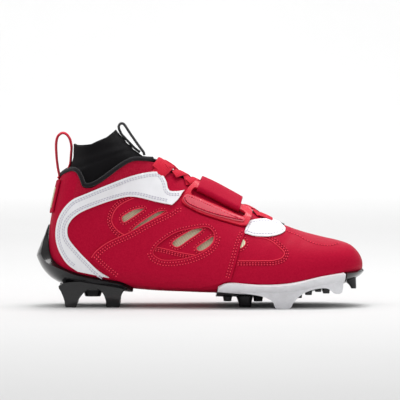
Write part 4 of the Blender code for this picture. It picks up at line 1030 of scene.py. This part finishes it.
class CLEAT_OT_panels(Operator):
    """The sewn panels: white side band, wing with its window, eyestay, heel tab and vent mesh"""

    bl_idname = "cleat.panels"
    bl_label = "Panels"

    def execute(self, context):
        near, far = PANEL_NEAR, PANEL_FAR + sizes().overlay
        band = {key: BAND_UPPER_EDGE[key] + BAND_LOWER_EDGE[key] for key in ("along", "up")}
        first = len(BAND_UPPER_EDGE["along"])
        corners = (0, first - 1, first + 2, len(band["along"]) - 1)
        for side, word in SIDES:
            panel(f"white_band_{word}", band, side, near, far, "white leather",
                  [f"side_band_{word}"], corners=corners)
            panel(f"wing_{word}", WING_OUTLINE, side, near, far, "red leather",
                  [f"wing_panel_{word}"], (WINDOW,), WING_CORNERS)
            panel(f"white_eyestay_{word}", EYESTAY_OUTLINE, side, near, far - 0.0002, "white leather",
                  [f"eyestay_{word}"], corners=EYESTAY_CORNERS, bevel=0.0006)
            back = -(sizes().upper_wall + MESH_GAP)
            panel(f"mesh_{word}", MESH_OUTLINE, side, back - MESH_THICKNESS, back, "beige mesh",
                  [f"vent_mesh_{word}"], bevel=0)
            panel(f"front_vent_{word}", FRONT_SLOT, side, 0.0001, 0.0005, "beige mesh",
                  step=0.0012, bevel=0)
        bm = grid_sheet(17.1, 18.85, 24, math.radians(152), math.radians(208), 40)
        thicken(bm, 0.0004, lambda r, a: 0.0017 + 0.0004 * np.cos((np.degrees(a) - 180) / 28 * 1.4))
        add_piece("heel_tab_leather", bm, "soft red leather", ["heel_tab"], 0.0006)
        bm = grid_sheet(17.35, 18.45, 14, math.radians(163), math.radians(197), 18)
        thicken(bm, 0.0018, 0.0023)
        add_piece("heel_tab_inlay", bm, "beige mesh", (), 0.0002)
        return {"FINISHED"}


# Radii of the beads along the vents and edges
BROAD_WELT, WELT, FINE_WELT = 0.00055, 0.00050, 0.00045


class CLEAT_OT_seams(Operator):
    """Welts round the vents and along the raised edges, most in a brighter red that paints their highlight"""

    bl_idname = "cleat.seams"
    bl_label = "Welts"

    def execute(self, context):
        for side, word in SIDES:
            highlit_rims, soft = bmesh.new(), bmesh.new()
            for slot in SLOTS:
                bead(highlit_rims, outline(slot, 0.0016), side, 0.0001, BROAD_WELT, closed=True)
            bead(highlit_rims, outline(FRONT_SLOT, 0.0012), side, 0.0003, WELT, closed=True)
            bead(highlit_rims, side_line(REAR_VENT_EDGE), side, 0.0002, BROAD_WELT)
            bead(highlit_rims, side_line(FRONT_VENT, slice(1, None)), side, 0.0002, WELT)
            bead(highlit_rims, side_line(WINDOW_SEAM), side, 0.0001, FINE_WELT)
            bead(highlit_rims, outline(WINDOW, SEAM_STEP), side, 0.0013, FINE_WELT, closed=True)
            bead(highlit_rims, side_line(WING_OUTLINE, slice(6)), side, 0.0015, FINE_WELT)
            bead(soft, side_line(WING_OUTLINE, slice(10, 15)), side, 0.0010, FINE_WELT)
            bead(soft, side_line(WING_OUTLINE, [17, 18, 19, 0]), side, 0.0010, FINE_WELT)
            # The rims' brighter red paints the highlight on the raised edges; the soft edges keep the leather's
            # red.
            add_piece(f"highlit_welts_{word}", highlit_rims, "bright red edge")
            add_piece(f"soft_edges_{word}", soft, "soft red leather")
        return {"FINISHED"}


def band_edges():
    """The white band's long edges as side lines, each from the heel plate forward."""
    upper = even_steps(metres(BAND_UPPER_EDGE), 0.0015)
    lower = even_steps(metres(part_of(BAND_LOWER_EDGE, slice(2, None))), 0.0015)
    return upper, lower


# The height of a sewn panel's top, and how far in from an edge its two thread rows run
PANEL_TOP = 0.0017
BAND_ROWS, WING_ROWS = (0.0023, 0.0038), (0.0023, 0.0046)


class CLEAT_OT_stitching(Operator):
    """The thread rows along every seam"""

    bl_idname = "cleat.stitching"
    bl_label = "Stitching"

    def execute(self, context):
        top = PANEL_TOP
        for side, word in SIDES:
            white, red, white_painted_seam_shade, red_painted_seam_shade = (bmesh.new() for _ in range(4))
            upper, lower = band_edges()
            for gap in BAND_ROWS:
                sew(white, beside(upper, -gap)[4:-4], side, top, white_painted_seam_shade)
                sew(white, beside(lower, -gap)[4:-4], side, top, white_painted_seam_shade)
            eyestay = beside(outline(EYESTAY_OUTLINE, 0.0015, EYESTAY_CORNERS), -0.0021, closed=True)
            sew(white, eyestay, side, top - 0.0002, white_painted_seam_shade)
            wing_lines = [side_line(WING_OUTLINE, part) for part in (slice(8), slice(10, 15), [18, 19, 0])]
            window = outline(WINDOW, SEAM_STEP)
            for gap in WING_ROWS:
                for line in wing_lines:
                    sew(red, beside(line, -gap)[1:-1], side, top, red_painted_seam_shade)
            sew(red, beside(window, 0.0020, closed=True), side, top, red_painted_seam_shade)
            around = beside(window, 0.0046, closed=True)
            sew(red, around[len(around) // 2:], side, top, red_painted_seam_shade)
            for slot in SLOTS:
                sew(red, beside(outline(slot, 0.0015), 0.0018, closed=True), side, 0.0001, red_painted_seam_shade)
            rear = side_line(REAR_VENT_EDGE)
            front = side_line(FRONT_VENT, slice(1, None))
            seam = side_line(WINDOW_SEAM)
            double = [(line, gap * way) for line, gap in ((rear, -0.0018), (front, 0.0018), (seam, -0.0016))
                      for way in (1, 2)]
            rows = [beside(*row) for row in double] + [side_line(TOE_SEAM)]
            rows += [beside(outline(FRONT_SLOT, 0.0012), 0.0020, closed=True)]
            for line in rows:
                sew(red, line, side, 0.0001, red_painted_seam_shade)
            add_piece(f"white_stitching_{word}", white, "white thread")
            add_piece(f"red_stitching_{word}", red, "red thread")
            # The strips under the thread are painted shade for the seams' grooves.
            add_piece(f"white_stitch_painted_shade_{word}", white_painted_seam_shade, "white groove")
            add_piece(f"red_stitch_painted_shade_{word}", red_painted_seam_shade, "red groove")
        red, painted_seam_shade = bmesh.new(), bmesh.new()
        rise = loop_rise()
        line = beside(outline(PAD_OUTLINE, 0.0015), -0.0014, closed=True)
        line = even_steps(np.concatenate([line, line[:1]]), sizes().stitch_pitch, smooth=False)
        ring, angle = place_on_side(line)
        lift = rise(ring, angle) + 0.0033
        points = surface(ring, angle, lift)
        normals = unit(surface(ring, angle, lift + 0.001) - points)
        stitches(red, points, normals)
        # A dark strip under the pad's stitches paints the shade of their groove.
        tube(painted_seam_shade, points, 0.0011, 6, 0.14, normals)
        add_piece("pad_stitching", red, "red thread")
        add_piece("pad_stitch_painted_shade", painted_seam_shade, "red groove")
        return {"FINISHED"}


def loop_rise():
    """How far the strap's loop stands off the last."""
    foot_ring, foot_angle = place_on_side(metres(part_of(LOOP_OUTLINE, slice(1, 5))))
    order = np.argsort(foot_ring)

    def lift(ring, angle):
        above = np.interp(ring, foot_ring[order], foot_angle[order]) - angle
        return 0.0005 + 0.0023 * np.clip(above / math.radians(11), 0, 1)

    return lift


class CLEAT_OT_strap(Operator):
    """The forefoot strap, its stiff loop and the sewn pad"""

    bl_idname = "cleat.strap"
    bl_label = "Strap and loop"

    def execute(self, context):
        rise = loop_rise()
        panel("loop", LOOP_OUTLINE, OUTER, rise, lambda r, a: rise(r, a) + 0.0022, "bright red plastic",
              ["strap_loop"], (LOOP_HOLE,), LOOP_CORNERS, step=0.0020, bevel=0.0008)

        pad_loop = unrolled(*place_on_side(outline(PAD_OUTLINE, 0.002)))

        def pad_top(ring, angle):
            away = np.linalg.norm(unrolled(ring, angle)[:, None] - pad_loop[None], axis=2).min(axis=1)
            return rise(ring, angle) + 0.0031 + 0.0007 * np.clip((away - 0.0004) / 0.0035, 0, 1) ** 0.6

        # The pad's pinker red is a painted reflection.
        pad = panel("loop_pad", PAD_OUTLINE, OUTER, lambda r, a: rise(r, a) + 0.0024, pad_top,
                    "pink-lit red pad", ["strap_loop_pad"], step=0.0016, bevel=0.0004)
        bar = metres(part_of(LOOP_HOLE, slice(-4, None)))
        bar_rings, bar_angles = place_on_side(bar)
        order = np.argsort(bar_rings)
        rings = np.linspace(*STRAP_RINGS, 40)
        metres_a_radian = 0.57 * sizes().ball_width
        fold, thickness = STRAP_FOLD_RADIUS, STRAP_THICKNESS
        room = math.sqrt((fold - thickness / 2) ** 2 - 0.0011**2) - 0.0003
        end = np.interp(rings, bar_rings[order], bar_angles[order]) - room / metres_a_radian
        run = np.linspace(0, 1, 90)
        start = math.radians(STRAP_START_ANGLE)
        angles = [start + (end - start) * share for share in run]
        lifts = list(np.interp(run * 100, STRAP_RUN["share"], STRAP_RUN["rise"]) / 100 * STRAP_RISE)
        middle = lifts[-1] - fold
        for turn in np.linspace(0, math.pi, 14)[1:]:
            angles.append(end + fold * math.sin(turn) / metres_a_radian)
            lifts.append(middle + fold * math.cos(turn))
        angles.append(end - math.radians(1.5))
        lifts.append(middle - fold)
        angle = np.stack(angles, axis=1)
        ring = np.tile(rings[:, None], (1, angle.shape[1]))
        centre = surface(ring, angle, np.array(lifts)[None], creased=False)
        normal = unit(np.cross(np.gradient(centre, axis=1), np.gradient(centre, axis=0)))
        across = np.linspace(-1, 1, len(rings))[:, None, None]
        plump = thickness / 2 * (1 - 0.35 * np.abs(across) ** 6)
        bm = bmesh.new()
        bmesh.ops.create_grid(bm, x_segments=ring.shape[0] - 1, y_segments=ring.shape[1] - 1, size=0.5)
        places = [tuple(int(round((v.co[k] + 0.5) * (ring.shape[k] - 1))) for k in (0, 1)) for v in bm.verts]
        flat = unrolled(ring.ravel(), angle.ravel()).reshape(ring.shape + (2,))
        map_flat(bm, [flat[place] for place in places])
        for v, place in zip(bm.verts, places):
            v.co = (*place, 0)
        new = extruded(bm)
        for v in bm.verts:
            i, j = int(round(v.co.x)), int(round(v.co.y))
            v.co = centre[i, j] + normal[i, j] * plump[i, 0] * (1 if v in new else -1)
        add_piece("strap_leather", bm, "soft red leather", ["strap"], 0.0004)
        red = bmesh.new()
        for column in (2.2, ring.shape[0] - 3.2):
            i = int(column)
            line = centre[i, 6:90] + normal[i, 6:90] * (thickness / 2)
            ticks = np.concatenate([line, normal[i, 6:90]], axis=1)
            ticks = even_steps(ticks, sizes().stitch_pitch, smooth=False)
            stitches(red, ticks[:, :3], ticks[:, 3:])
        add_piece("strap_stitching", red, "red thread")
        return {"FINISHED"}


# Lace bands: from (along, across in millimetres) to (along, across), width, thickness, lift at the start and
# the end
LACE_RUNS = (
    ((38.2, -12.5), (38.2, 12.5), 0.0088, 0.0016, 0.0014, 0.0014),
    ((40.4, 2.0), (39.3, -16.0), 0.0118, 0.0012, 0.0034, 0.0006),
    ((40.4, -2.0), (39.3, 16.0), 0.0118, 0.0012, 0.0034, 0.0006),
    ((39.8, 7.0), (43.6, -7.5), 0.0062, 0.0012, 0.0016, 0.0013),
    ((39.8, -7.0), (43.6, 7.5), 0.0062, 0.0012, 0.0030, 0.0013),
    ((42.6, 9.5), (47.6, -11.0), 0.0078, 0.0011, 0.0013, 0.0012),
    ((42.6, -9.5), (47.6, 11.0), 0.0078, 0.0011, 0.0028, 0.0012),
    ((46.6, 10.0), (51.0, -10.0), 0.0070, 0.0011, 0.0013, 0.0011),
    ((46.6, -10.0), (51.0, 10.0), 0.0070, 0.0011, 0.0028, 0.0011),
    ((63.6, 9.0), (68.4, -11.5), 0.0075, 0.0011, 0.0013, 0.0011),
    ((63.6, -9.0), (68.4, 11.5), 0.0075, 0.0011, 0.0027, 0.0011),
    ((70.0, -12.0), (70.0, 12.0), 0.0135, 0.0011, 0.0014, 0.0014),
)


class CLEAT_OT_laces(Operator):
    """The flat laces over the tongue, in bars and crossings"""

    bl_idname = "cleat.laces"
    bl_label = "Laces"

    def execute(self, context):
        bm = bmesh.new()
        for (along_a, y_a), (along_b, y_b), width, thick, first, last in LACE_RUNS:
            ends = np.array([[(along_a / 100 - 0.5) * sizes().length, y_a / 1000],
                             [(along_b / 100 - 0.5) * sizes().length, y_b / 1000]])
            line = ends[0] + (ends[1] - ends[0]) * np.linspace(0, 1, 26)[:, None]
            ring, angle = place_on_crest(line)
            lift = np.linspace(first, last, 26) + 0.0006 * np.sin(np.linspace(0, math.pi, 26))
            centre = surface(ring, angle, lift)
            up = surface(ring, angle, lift + 0.002) - centre
            tube(bm, centre, width / 2, 12, thick / width, up)
        add_piece("lace_bands", bm, "red lace", ["laces"], creased_edge=70)
        return {"FINISHED"}


# The roll's place outside the last, rise above the collar's edge and radius
ROLL_OUTSET, ROLL_RISE, ROLL_RADIUS = 0.0003, 0.0022, 0.00205
# The sock's lowest ring, its place inside the last and its wall
SOCK_START, SOCK_FIT, SOCK_WALL = 15.0, 0.0027, 0.0024
# The tongue's rings, how far it reaches past the throat's edges in degrees, and its faces inside the last
TONGUE_RINGS, TONGUE_REACH, TONGUE_BACK, TONGUE_FRONT, TONGUE_BULGE = (6.2, 14.85), 14, 0.0071, 0.0031, 0.0028
# The insole's rings, its angles in degrees, and its faces inside the last
INSOLE_RINGS, INSOLE_ANGLES, INSOLE_BASE, INSOLE_TOP = (1.6, 13.6), (112, 248), -0.0032, -0.0072


class CLEAT_OT_sock(Operator):
    """The knitted sock, the textile roll at the collar, the tongue and the insole"""

    bl_idname = "cleat.sock"
    bl_label = "Sock, roll, tongue and insole"

    def execute(self, context):
        bm = grid_sheet(0, 1, 70, 0, 2 * math.pi, 110)
        for v in bm.verts:
            folded = math.degrees(min(v.co.y, 2 * math.pi - v.co.y))
            top = float(np.interp(folded, SOCK_TOP["angle"], SOCK_TOP["ring"]))
            v.co.x = SOCK_START + (top - SOCK_START) * v.co.x

        def outside(ring, angle):
            free = np.clip(ring - 18.6, 0, 1) * np.clip(21.6 - ring, 0, 1)
            return 0.0004 * np.sin(ring * 5.1 + 2 * np.cos(angle)) * free - SOCK_FIT

        thicken(bm, lambda r, a: outside(r, a) - SOCK_WALL, outside, creased=False)
        weld(bm)
        add_piece("sock_knit", bm, "black knit", ["sock"], 0.0006, creased_edge=60)
        edge = float(throat_angle(COLLAR_START))
        angle = np.linspace(edge, 2 * math.pi - edge, 140)
        ring = np.convolve(np.pad(collar_ring(angle), 3, mode="edge"), np.ones(7) / 7, mode="valid")
        line = surface(ring, angle, ROLL_OUTSET, creased=False)
        along = unit(np.gradient(line, axis=0))
        upwards = surface(ring + 0.1, angle, ROLL_OUTSET, creased=False) - line
        upwards = unit(upwards - along * (upwards * along).sum(axis=1)[:, None])
        bm = bmesh.new()
        tube(bm, line + upwards * ROLL_RISE, ROLL_RADIUS, 14, up=upwards)
        # The roll's lightened black paints its sheen.
        add_piece("roll_textile", bm, "black roll textile", ["collar_roll"],
                            creased_edge=80)
        bm = grid_sheet(0, 1, 69, -1, 1, 30)
        for v in bm.verts:
            ring = TONGUE_RINGS[0] + (TONGUE_RINGS[1] - TONGUE_RINGS[0]) * v.co.x
            v.co = (ring, v.co.y * (float(throat_angle(max(ring, 7.3))) + math.radians(TONGUE_REACH)), 0)

        def padded_top(ring, angle):
            within = (throat_angle(ring) - np.abs(angle)) / math.radians(4)
            return TONGUE_BULGE * np.clip(within - 0.4, 0, 1) - TONGUE_FRONT

        thicken(bm, -TONGUE_BACK, padded_top, creased=False)
        add_piece("tongue_knit", bm, "black knit", ["tongue"], 0.0008)
        bm = grid_sheet(*INSOLE_RINGS, 90, *np.radians(INSOLE_ANGLES), 40)
        thicken(bm, INSOLE_TOP, INSOLE_BASE, creased=False)
        add_piece("insole_cover", bm, "grey foam cover", ["insole"], 0.0008)
        bm = bmesh.new()
        front = np.linspace(-1, 1, 41)
        ring = 6.75 + 1.5 * np.abs(front) ** 1.6
        angle = np.sign(front) * throat_angle(ring)
        tube(bm, surface(ring, angle, 0.0002), 0.0011, 8, 0.8)
        add_piece("throat_edging", bm, "black roll textile")
        return {"FINISHED"}


HEEL_PULL_LINE = {
    "along": (6.9, 6.5, 6.1, 5.9, 6.0, 6.5, 7.7, 9.0, 10.1, 10.6, 10.5),
    "up": (87.5, 92.5, 100.0, 108.0, 113.5, 117.3, 119.6, 118.8, 115.2, 109.5, 103.8),
}
TONGUE_PULL_LINE = {
    "along": (32.7, 31.2, 28.8, 26.9, 26.2, 25.4, 25.1),
    "up": (105.2, 110.2, 118.6, 125.6, 126.8, 126.2, 123.6),
}
# Half the pull loops' thickness and width
PULL_HALF, PULL_HALF_WIDTH = 0.0012, 0.0065


def on_middle(rings, angle, lift):
    return surface(np.array(rings, float), np.full(len(rings), angle), lift, creased=False)[:, [0, 2]]


def pull_band(name, look, line, replaced):
    """A flat webbing band along a side line, its width across the shoe."""
    line = even_steps(line, 0.0012)
    centre = np.stack([line[:, 0], np.zeros(len(line)), line[:, 1]], axis=1)
    bm = bmesh.new()
    along = np.gradient(centre, axis=0)
    up = np.cross(along, np.tile([0.0, 1.0, 0.0], (len(line), 1)))
    tube(bm, centre, PULL_HALF_WIDTH, 16, PULL_HALF / PULL_HALF_WIDTH, up)
    add_piece(name, bm, look, replaced, creased_edge=80)


class CLEAT_OT_pulls(Operator):
    """The webbing pull loops at the heel and on the sock's front"""

    bl_idname = "cleat.pulls"
    bl_label = "Pull loops"

    def execute(self, context):
        on_sock = -0.0025 + PULL_HALF
        line = np.concatenate([
            on_middle([18.95], math.pi, 0.0014),
            metres(HEEL_PULL_LINE),
            on_middle([20.3, 19.9], math.pi, on_sock),
        ])
        pull_band("heel_webbing", "red webbing", line, ["heel_pull"])
        line = np.concatenate([
            on_middle([16.7], 0.0, on_sock),
            metres(TONGUE_PULL_LINE),
            on_middle([21.3, 20.7, 20.0, 19.2, 18.4, 17.7], 0.0, on_sock),
        ])
        pull_band("sock_front_band", "black roll textile", line, ["tongue_pull"])
        return {"FINISHED"}


# Levels of a stud from tip to root, each with how much of its width it has
FULL_LEVELS = (0.06, 0.25, 0.45, 0.65, 0.82, 0.94, 1.0)
STUD_LEVELS = ((0.0, 0.85), (0.02, 0.96), *((share, 1.0) for share in FULL_LEVELS))
# A lug's tip as a share of its root, its height and its depth into the plate
LUG_TIP, LUG_TALL, LUG_DEPTH = 0.72, 0.0060, 0.0060
STUD_SIDES, STUD_CORNERS = 28, 0.62


def stud(stud_row, side, bm):
    """Adds one stud: a rounded tip swept up through a waist to its flared root, and on up into the plate."""
    root, tip, root_long, tip_long, root_wide, tip_wide, across, lean, rise, tall, depth = stud_row

    def squared(value):
        return math.copysign(abs(value) ** STUD_CORNERS, value)

    turns = [math.tau * k / STUD_SIDES for k in range(STUD_SIDES)]
    squares = [(squared(math.cos(t)), squared(math.sin(t))) for t in turns]
    rings = []
    for share, full in STUD_LEVELS + ((1 + depth / tall, 1.0),):
        flare = min(share, 1.0)
        widen = 0.10 * flare + 0.90 * flare**1.9
        middle = ((tip + (root - tip) * widen) / 100 - 0.5) * sizes().length
        long = (tip_long + (root_long - tip_long) * widen) / 2 * full
        wide = (tip_wide + (root_wide - tip_wide) * widen) / 2 * full
        out, up = -side * (across - lean * widen), rise + tall * share
        rings.append([bm.verts.new((middle + long * a, out + wide * b, up)) for a, b in squares])
    bm.faces.new(rings[0])
    edges = []
    for ring in rings:
        pairs = [(ring[k - 1], ring[k]) for k in range(STUD_SIDES)]
        edges.append([bm.edges.get(pair) or bm.edges.new(pair) for pair in pairs])
    for first, second in zip(edges, edges[1:]):
        bmesh.ops.bridge_loops(bm, edges=first + second)
    bm.faces.new(rings[-1])


def lug_row(place, long, wide, across, lowest):
    tip = (long * LUG_TIP, wide * LUG_TIP)
    return (place, place, long, tip[0], wide, tip[1], across, 0.0, lowest, LUG_TALL, LUG_DEPTH)


def last_body(lift):
    """The whole last as a solid, to trim what reaches up into it."""
    bm = grid_sheet(0.02, 14, 70, 0, math.tau, 72)
    verts = list(bm.verts)
    rings, angles = [v.co.x for v in verts], [v.co.y for v in verts]
    for v, point in zip(verts, surface(rings, angles, lift, creased=False)):
        v.co = point
    bmesh.ops.remove_doubles(bm, verts=bm.verts, dist=1e-6)
    bmesh.ops.holes_fill(bm, edges=[e for e in bm.edges if e.is_boundary], sides=0)
    return bm


def plate_piece(name, sheet, bodies, look, nodes, creased_edge=34):
    """A moulded plate with the blades, studs and lugs below it, trimmed to the last."""
    piece = add_piece(name, bodies[0], look, nodes, creased_edge=creased_edge)
    for body in bodies[1:]:
        join_body(piece, body, "UNION")
    join_body(piece, last_body(0.0007), "DIFFERENCE")
    join_body(piece, sheet, "UNION")
    smooth(piece, creased_edge)
    round_edges(piece, 0.0005)
    return piece


def studs_of(rows, sides):
    bodies = []
    for row in rows:
        for side in sides:
            bodies.append(bmesh.new())
            stud(row, side, bodies[-1])
    return bodies


def edge_places(columns, rows):
    line = metres(columns)
    return place_on_side(even_steps(line, np.linalg.norm(np.diff(line, axis=0), axis=1).sum() / rows))


def rail_edges(rows):
    top_ring, top_angle = edge_places(RAIL_TOP, rows)
    ring, angle = edge_places(RAIL_BOTTOM, rows * 2)
    order = np.argsort(ring)
    return top_ring, top_angle, np.interp(top_ring, ring[order], angle[order])


# The plates' gap to the last, and the heel plate's thickness, thinning towards its top and spur
PLATE_FIT, HEEL_PLATE, HEEL_THINNING, SPUR_DEPTH = 0.0005, 0.0035, 0.0021, 0.0083
RAIL_FACE, FORE_PLATE = 0.0039, 0.0030


class CLEAT_OT_plates(Operator):
    """The moulded heel plate, forefoot plate and side rails with their studs"""

    bl_idname = "cleat.plates"
    bl_label = "Plates and studs"

    def execute(self, context):
        s = sizes()
        ring, edge = edge_places(REAR_PLATE_EDGE, 90)
        edge = np.minimum(edge, math.radians(168))
        bm = grid_sheet(0, 1, len(ring) - 1, -1, 1, 60)
        rows = len(ring) - 1
        for v in bm.verts:
            i = int(round(v.co.x * rows))
            v.co = (ring[i], math.pi + (math.pi - edge[i]) * v.co.y, 0)

        def thickness(r, a):
            behind = np.degrees(np.abs(a - math.pi))
            spur = np.interp(r, SPUR_RINGS["ring"], SPUR_RINGS["share"]) / 100
            spur = spur * np.clip(1 - behind / 50, 0, 1) ** 0.8
            return HEEL_PLATE - HEEL_THINNING * np.clip((r - 15.6) / 0.9, 0, 1) + SPUR_DEPTH * spur

        thicken(bm, PLATE_FIT, thickness, creased=False)
        rim = surface(ring, edge + math.radians(12), 0.0034, creased=False)
        rim = rim[np.argsort(rim[:, 0])]

        def outer_face(x, z):
            under_rim = float(np.interp(x, rim[:, 0], np.abs(rim[:, 1]))) - 0.0014
            return min(0.0245 + 0.0050 * max(z, 0) / s.sole_lift, under_rim)

        def inner_face(x, z):
            return min(0.0165 - 0.0045 * min(max(z, 0) / s.sole_lift, 1.2), outer_face(x, z) - 0.006)

        bodies = [blade(outline(HEEL_BLADE, 0.0012), outer_face, inner_face, side) for side in (OUTER, INNER)]
        bodies += studs_of([lug_row(*row) for row in HEEL_LUGS], (OUTER, INNER))
        plate_piece("heel_plate", bm, bodies, "black plastic", ["rear_plate"], 16)
        rings, top, bottom = rail_edges(70)
        rows = len(rings) - 1
        for side, word in SIDES:
            bm = grid_sheet(0, 1, rows, 0, 1, 14)
            for v in bm.verts:
                i = int(round(v.co.x * rows))
                v.co = (rings[i], top[i] + (bottom[i] - top[i]) * v.co.y, 0)
            thicken(bm, PLATE_FIT, RAIL_FACE, side, creased=False)
            foot = surface(rings, side * (bottom + 0.35 * (top - bottom)), 0.0036, creased=False)
            order = np.argsort(foot[:, 0])

            def face(x, z, foot=foot[order]):
                edge_y = np.interp(x, foot[:, 0], np.abs(foot[:, 1]))
                edge_z = np.interp(x, foot[:, 0], foot[:, 2])
                return edge_y - 0.0002 - 0.10 * max(edge_z - z, 0)

            def back(x, z, face=face):
                return face(x, z) - 0.0085 - 0.25 * max(z, 0)

            body = blade(outline(RAIL_BLADE, 0.0012), face, back, side)
            node_name = f"forefoot_rail_{word}"
            plate_piece(f"rail_{word}", bm, [body], "white plastic", [node_name])
        front = rings.min()
        toe_ring, toe_edge = edge_places(TOE_PLATE_EDGE, 12)
        order = np.argsort(rings)
        toe_order = np.argsort(toe_ring)
        bm = grid_sheet(0, 1, 110, -1, 1, 44)
        for v in bm.verts:
            if v.co.x < 0.75:
                at = 9.0 + (front - 0.02 - 9.0) * v.co.x / 0.75
                limit = float(np.interp(at, rings[order], bottom[order])) + math.radians(1.6)
            else:
                at = front - 0.07 + (1.1 - front + 0.07) * (v.co.x - 0.75) / 0.25
                limit = float(np.interp(at, toe_ring[toe_order], toe_edge[toe_order]))
            v.co = (at, math.pi + (math.pi - limit) * v.co.y, 0)

        def sole_face(r, a):
            return PLATE_FIT + FORE_PLATE * (1 - 0.45 * np.clip((front - r) / front, 0, 1))

        thicken(bm, PLATE_FIT, sole_face, creased=False)
        bodies = studs_of(FORE_STUDS + tuple(lug_row(*row) for row in FORE_LUGS), (OUTER, INNER))
        plate_piece("fore_plate", bm, bodies, "black plastic", ["forefoot_plate"])
        return {"FINISHED"}


# Stage: each lamp's name, place, target, power in watts and size in metres
LAMPS = (
    ("key", (-0.45, -0.9, 1.50), (0.0, 0.0, 0.06), 3, 0.9),
    ("top", (0.10, 0.20, 1.40), (0.0, 0.0, 0.06), 13, 0.8),
    ("backdrop", (0.0, 3.2, 2.8), (0.0, 4.6, 0.0), 95, 2.4),
)
# How bright the studio is at the horizon, a third of the way up and overhead
WORLD_LEVELS = (0.36, 0.58, 0.92)
# The backdrop: half its width, how far it reaches back before it bends, the bend's radius and its height
BACKDROP_HALF, BACKDROP_BEND, BACKDROP_RADIUS, BACKDROP_TOP = 8.0, 4.4, 1.4, 7.0
# The camera: lens and sensor in millimetres, the picture's width at the shoe, the height of its middle, and
# its tilt in degrees
LENS, SENSOR, PICTURE_WIDTH, PICTURE_MIDDLE, TILT = 360, 36, 0.3656, 0.0967, 2.6


class CLEAT_OT_stage(Operator):
    """The pale curved backdrop, the soft studio light and the camera"""

    bl_idname = "cleat.stage"
    bl_label = "Stage"

    def execute(self, context):
        bm = bmesh.new()
        bend, radius = BACKDROP_BEND, BACKDROP_RADIUS
        profile = [(-BACKDROP_HALF, 0.0), (bend, 0.0)]
        for turn in np.linspace(0.08, math.pi / 2, 24):
            profile.append((bend + math.sin(turn) * radius, radius - math.cos(turn) * radius))
        profile.append((bend + radius, BACKDROP_TOP))
        verts = [bm.verts.new((-BACKDROP_HALF, y, z)) for y, z in profile]
        edges = [bm.edges.new(pair) for pair in zip(verts, verts[1:])]
        made = bmesh.ops.extrude_edge_only(bm, edges=edges)
        moved = [item for item in made["geom"] if isinstance(item, bmesh.types.BMVert)]
        bmesh.ops.translate(bm, verts=moved, vec=(2 * BACKDROP_HALF, 0, 0))
        bmesh.ops.recalc_face_normals(bm, faces=bm.faces)
        backdrop = linked("backdrop", bm)
        backdrop.data.shade_smooth()
        backdrop.data.materials.append(finish_of("pale floor"))
        world = bpy.data.worlds.new("studio")
        world.use_nodes = True
        tree = world.node_tree
        place = tree.nodes.new("ShaderNodeTexCoord")
        split = tree.nodes.new("ShaderNodeSeparateXYZ")
        ramp = tree.nodes.new("ShaderNodeValToRGB")
        for position, level in ((0.0, WORLD_LEVELS[0]), (0.35, WORLD_LEVELS[1]), (1.0, WORLD_LEVELS[2])):
            element = ramp.color_ramp.elements[0] if position == 0 else ramp.color_ramp.elements.new(position)
            element.color = (level, level, level, 1)
        ramp.color_ramp.elements.remove(ramp.color_ramp.elements[-1])
        tree.links.new(place.outputs["Generated"], split.inputs["Vector"])
        tree.links.new(split.outputs["Z"], ramp.inputs["Fac"])
        tree.links.new(ramp.outputs["Color"], tree.nodes["Background"].inputs["Color"])
        tree.nodes["Background"].inputs["Strength"].default_value = 1.0
        context.scene.world = world
        for name, place, target, power, size in LAMPS:
            lamp = bpy.data.lights.new(name, "AREA")
            lamp.energy = power
            lamp.size = size
            holder = bpy.data.objects.new(name, lamp)
            holder.location = place
            holder.rotation_euler = (Vector(target) - Vector(place)).to_track_quat("-Z", "Y").to_euler()
            context.scene.collection.objects.link(holder)
        lens = bpy.data.cameras.new("camera")
        lens.lens = LENS
        lens.sensor_width = SENSOR
        lens.clip_start = 0.05
        camera = bpy.data.objects.new("camera", lens)
        distance = PICTURE_WIDTH * LENS / SENSOR
        tilt = math.radians(TILT)
        camera.location = Vector((0, -math.cos(tilt) * distance, PICTURE_MIDDLE + math.sin(tilt) * distance))
        camera.rotation_euler = (math.pi / 2 - tilt, 0, 0)
        context.scene.collection.objects.link(camera)
        context.scene.camera = camera
        context.scene.view_settings.view_transform = "Standard"
        return {"FINISHED"}


class CLEAT_PT_panel(Panel):
    """Lists the cleat's sizes, colours and pieces"""

    bl_label = "Football Cleat"
    bl_idname = "CLEAT_PT_panel"
    bl_space_type = "VIEW_3D"
    bl_region_type = "UI"
    bl_category = "Cleat"

    def draw(self, context):
        for group in (context.scene.cleat_sizes, context.scene.cleat_colours):
            for key in group.__annotations__:
                self.layout.prop(group, key)
        for operator in OPERATORS:
            self.layout.operator(operator.bl_idname)


OPERATORS = (
    CLEAT_OT_upper,
    CLEAT_OT_panels,
    CLEAT_OT_seams,
    CLEAT_OT_stitching,
    CLEAT_OT_strap,
    CLEAT_OT_laces,
    CLEAT_OT_sock,
    CLEAT_OT_pulls,
    CLEAT_OT_plates,
    CLEAT_OT_stage,
)
CLASSES = (CleatSizes, CleatColours, *OPERATORS, CLEAT_PT_panel)


def register():
    for item in CLASSES:
        bpy.utils.register_class(item)
    bpy.types.Scene.cleat_sizes = PointerProperty(type=CleatSizes)
    bpy.types.Scene.cleat_colours = PointerProperty(type=CleatColours)


def unregister():
    del bpy.types.Scene.cleat_colours
    del bpy.types.Scene.cleat_sizes
    for item in reversed(CLASSES):
        bpy.utils.unregister_class(item)


def main():
    register()
    bpy.ops.cleat.upper()
    bpy.ops.cleat.panels()
    bpy.ops.cleat.seams()
    bpy.ops.cleat.stitching()
    bpy.ops.cleat.strap()
    bpy.ops.cleat.laces()
    bpy.ops.cleat.sock()
    bpy.ops.cleat.pulls()
    bpy.ops.cleat.plates()
    bpy.ops.cleat.stage()


if __name__ == "__main__":
    main()
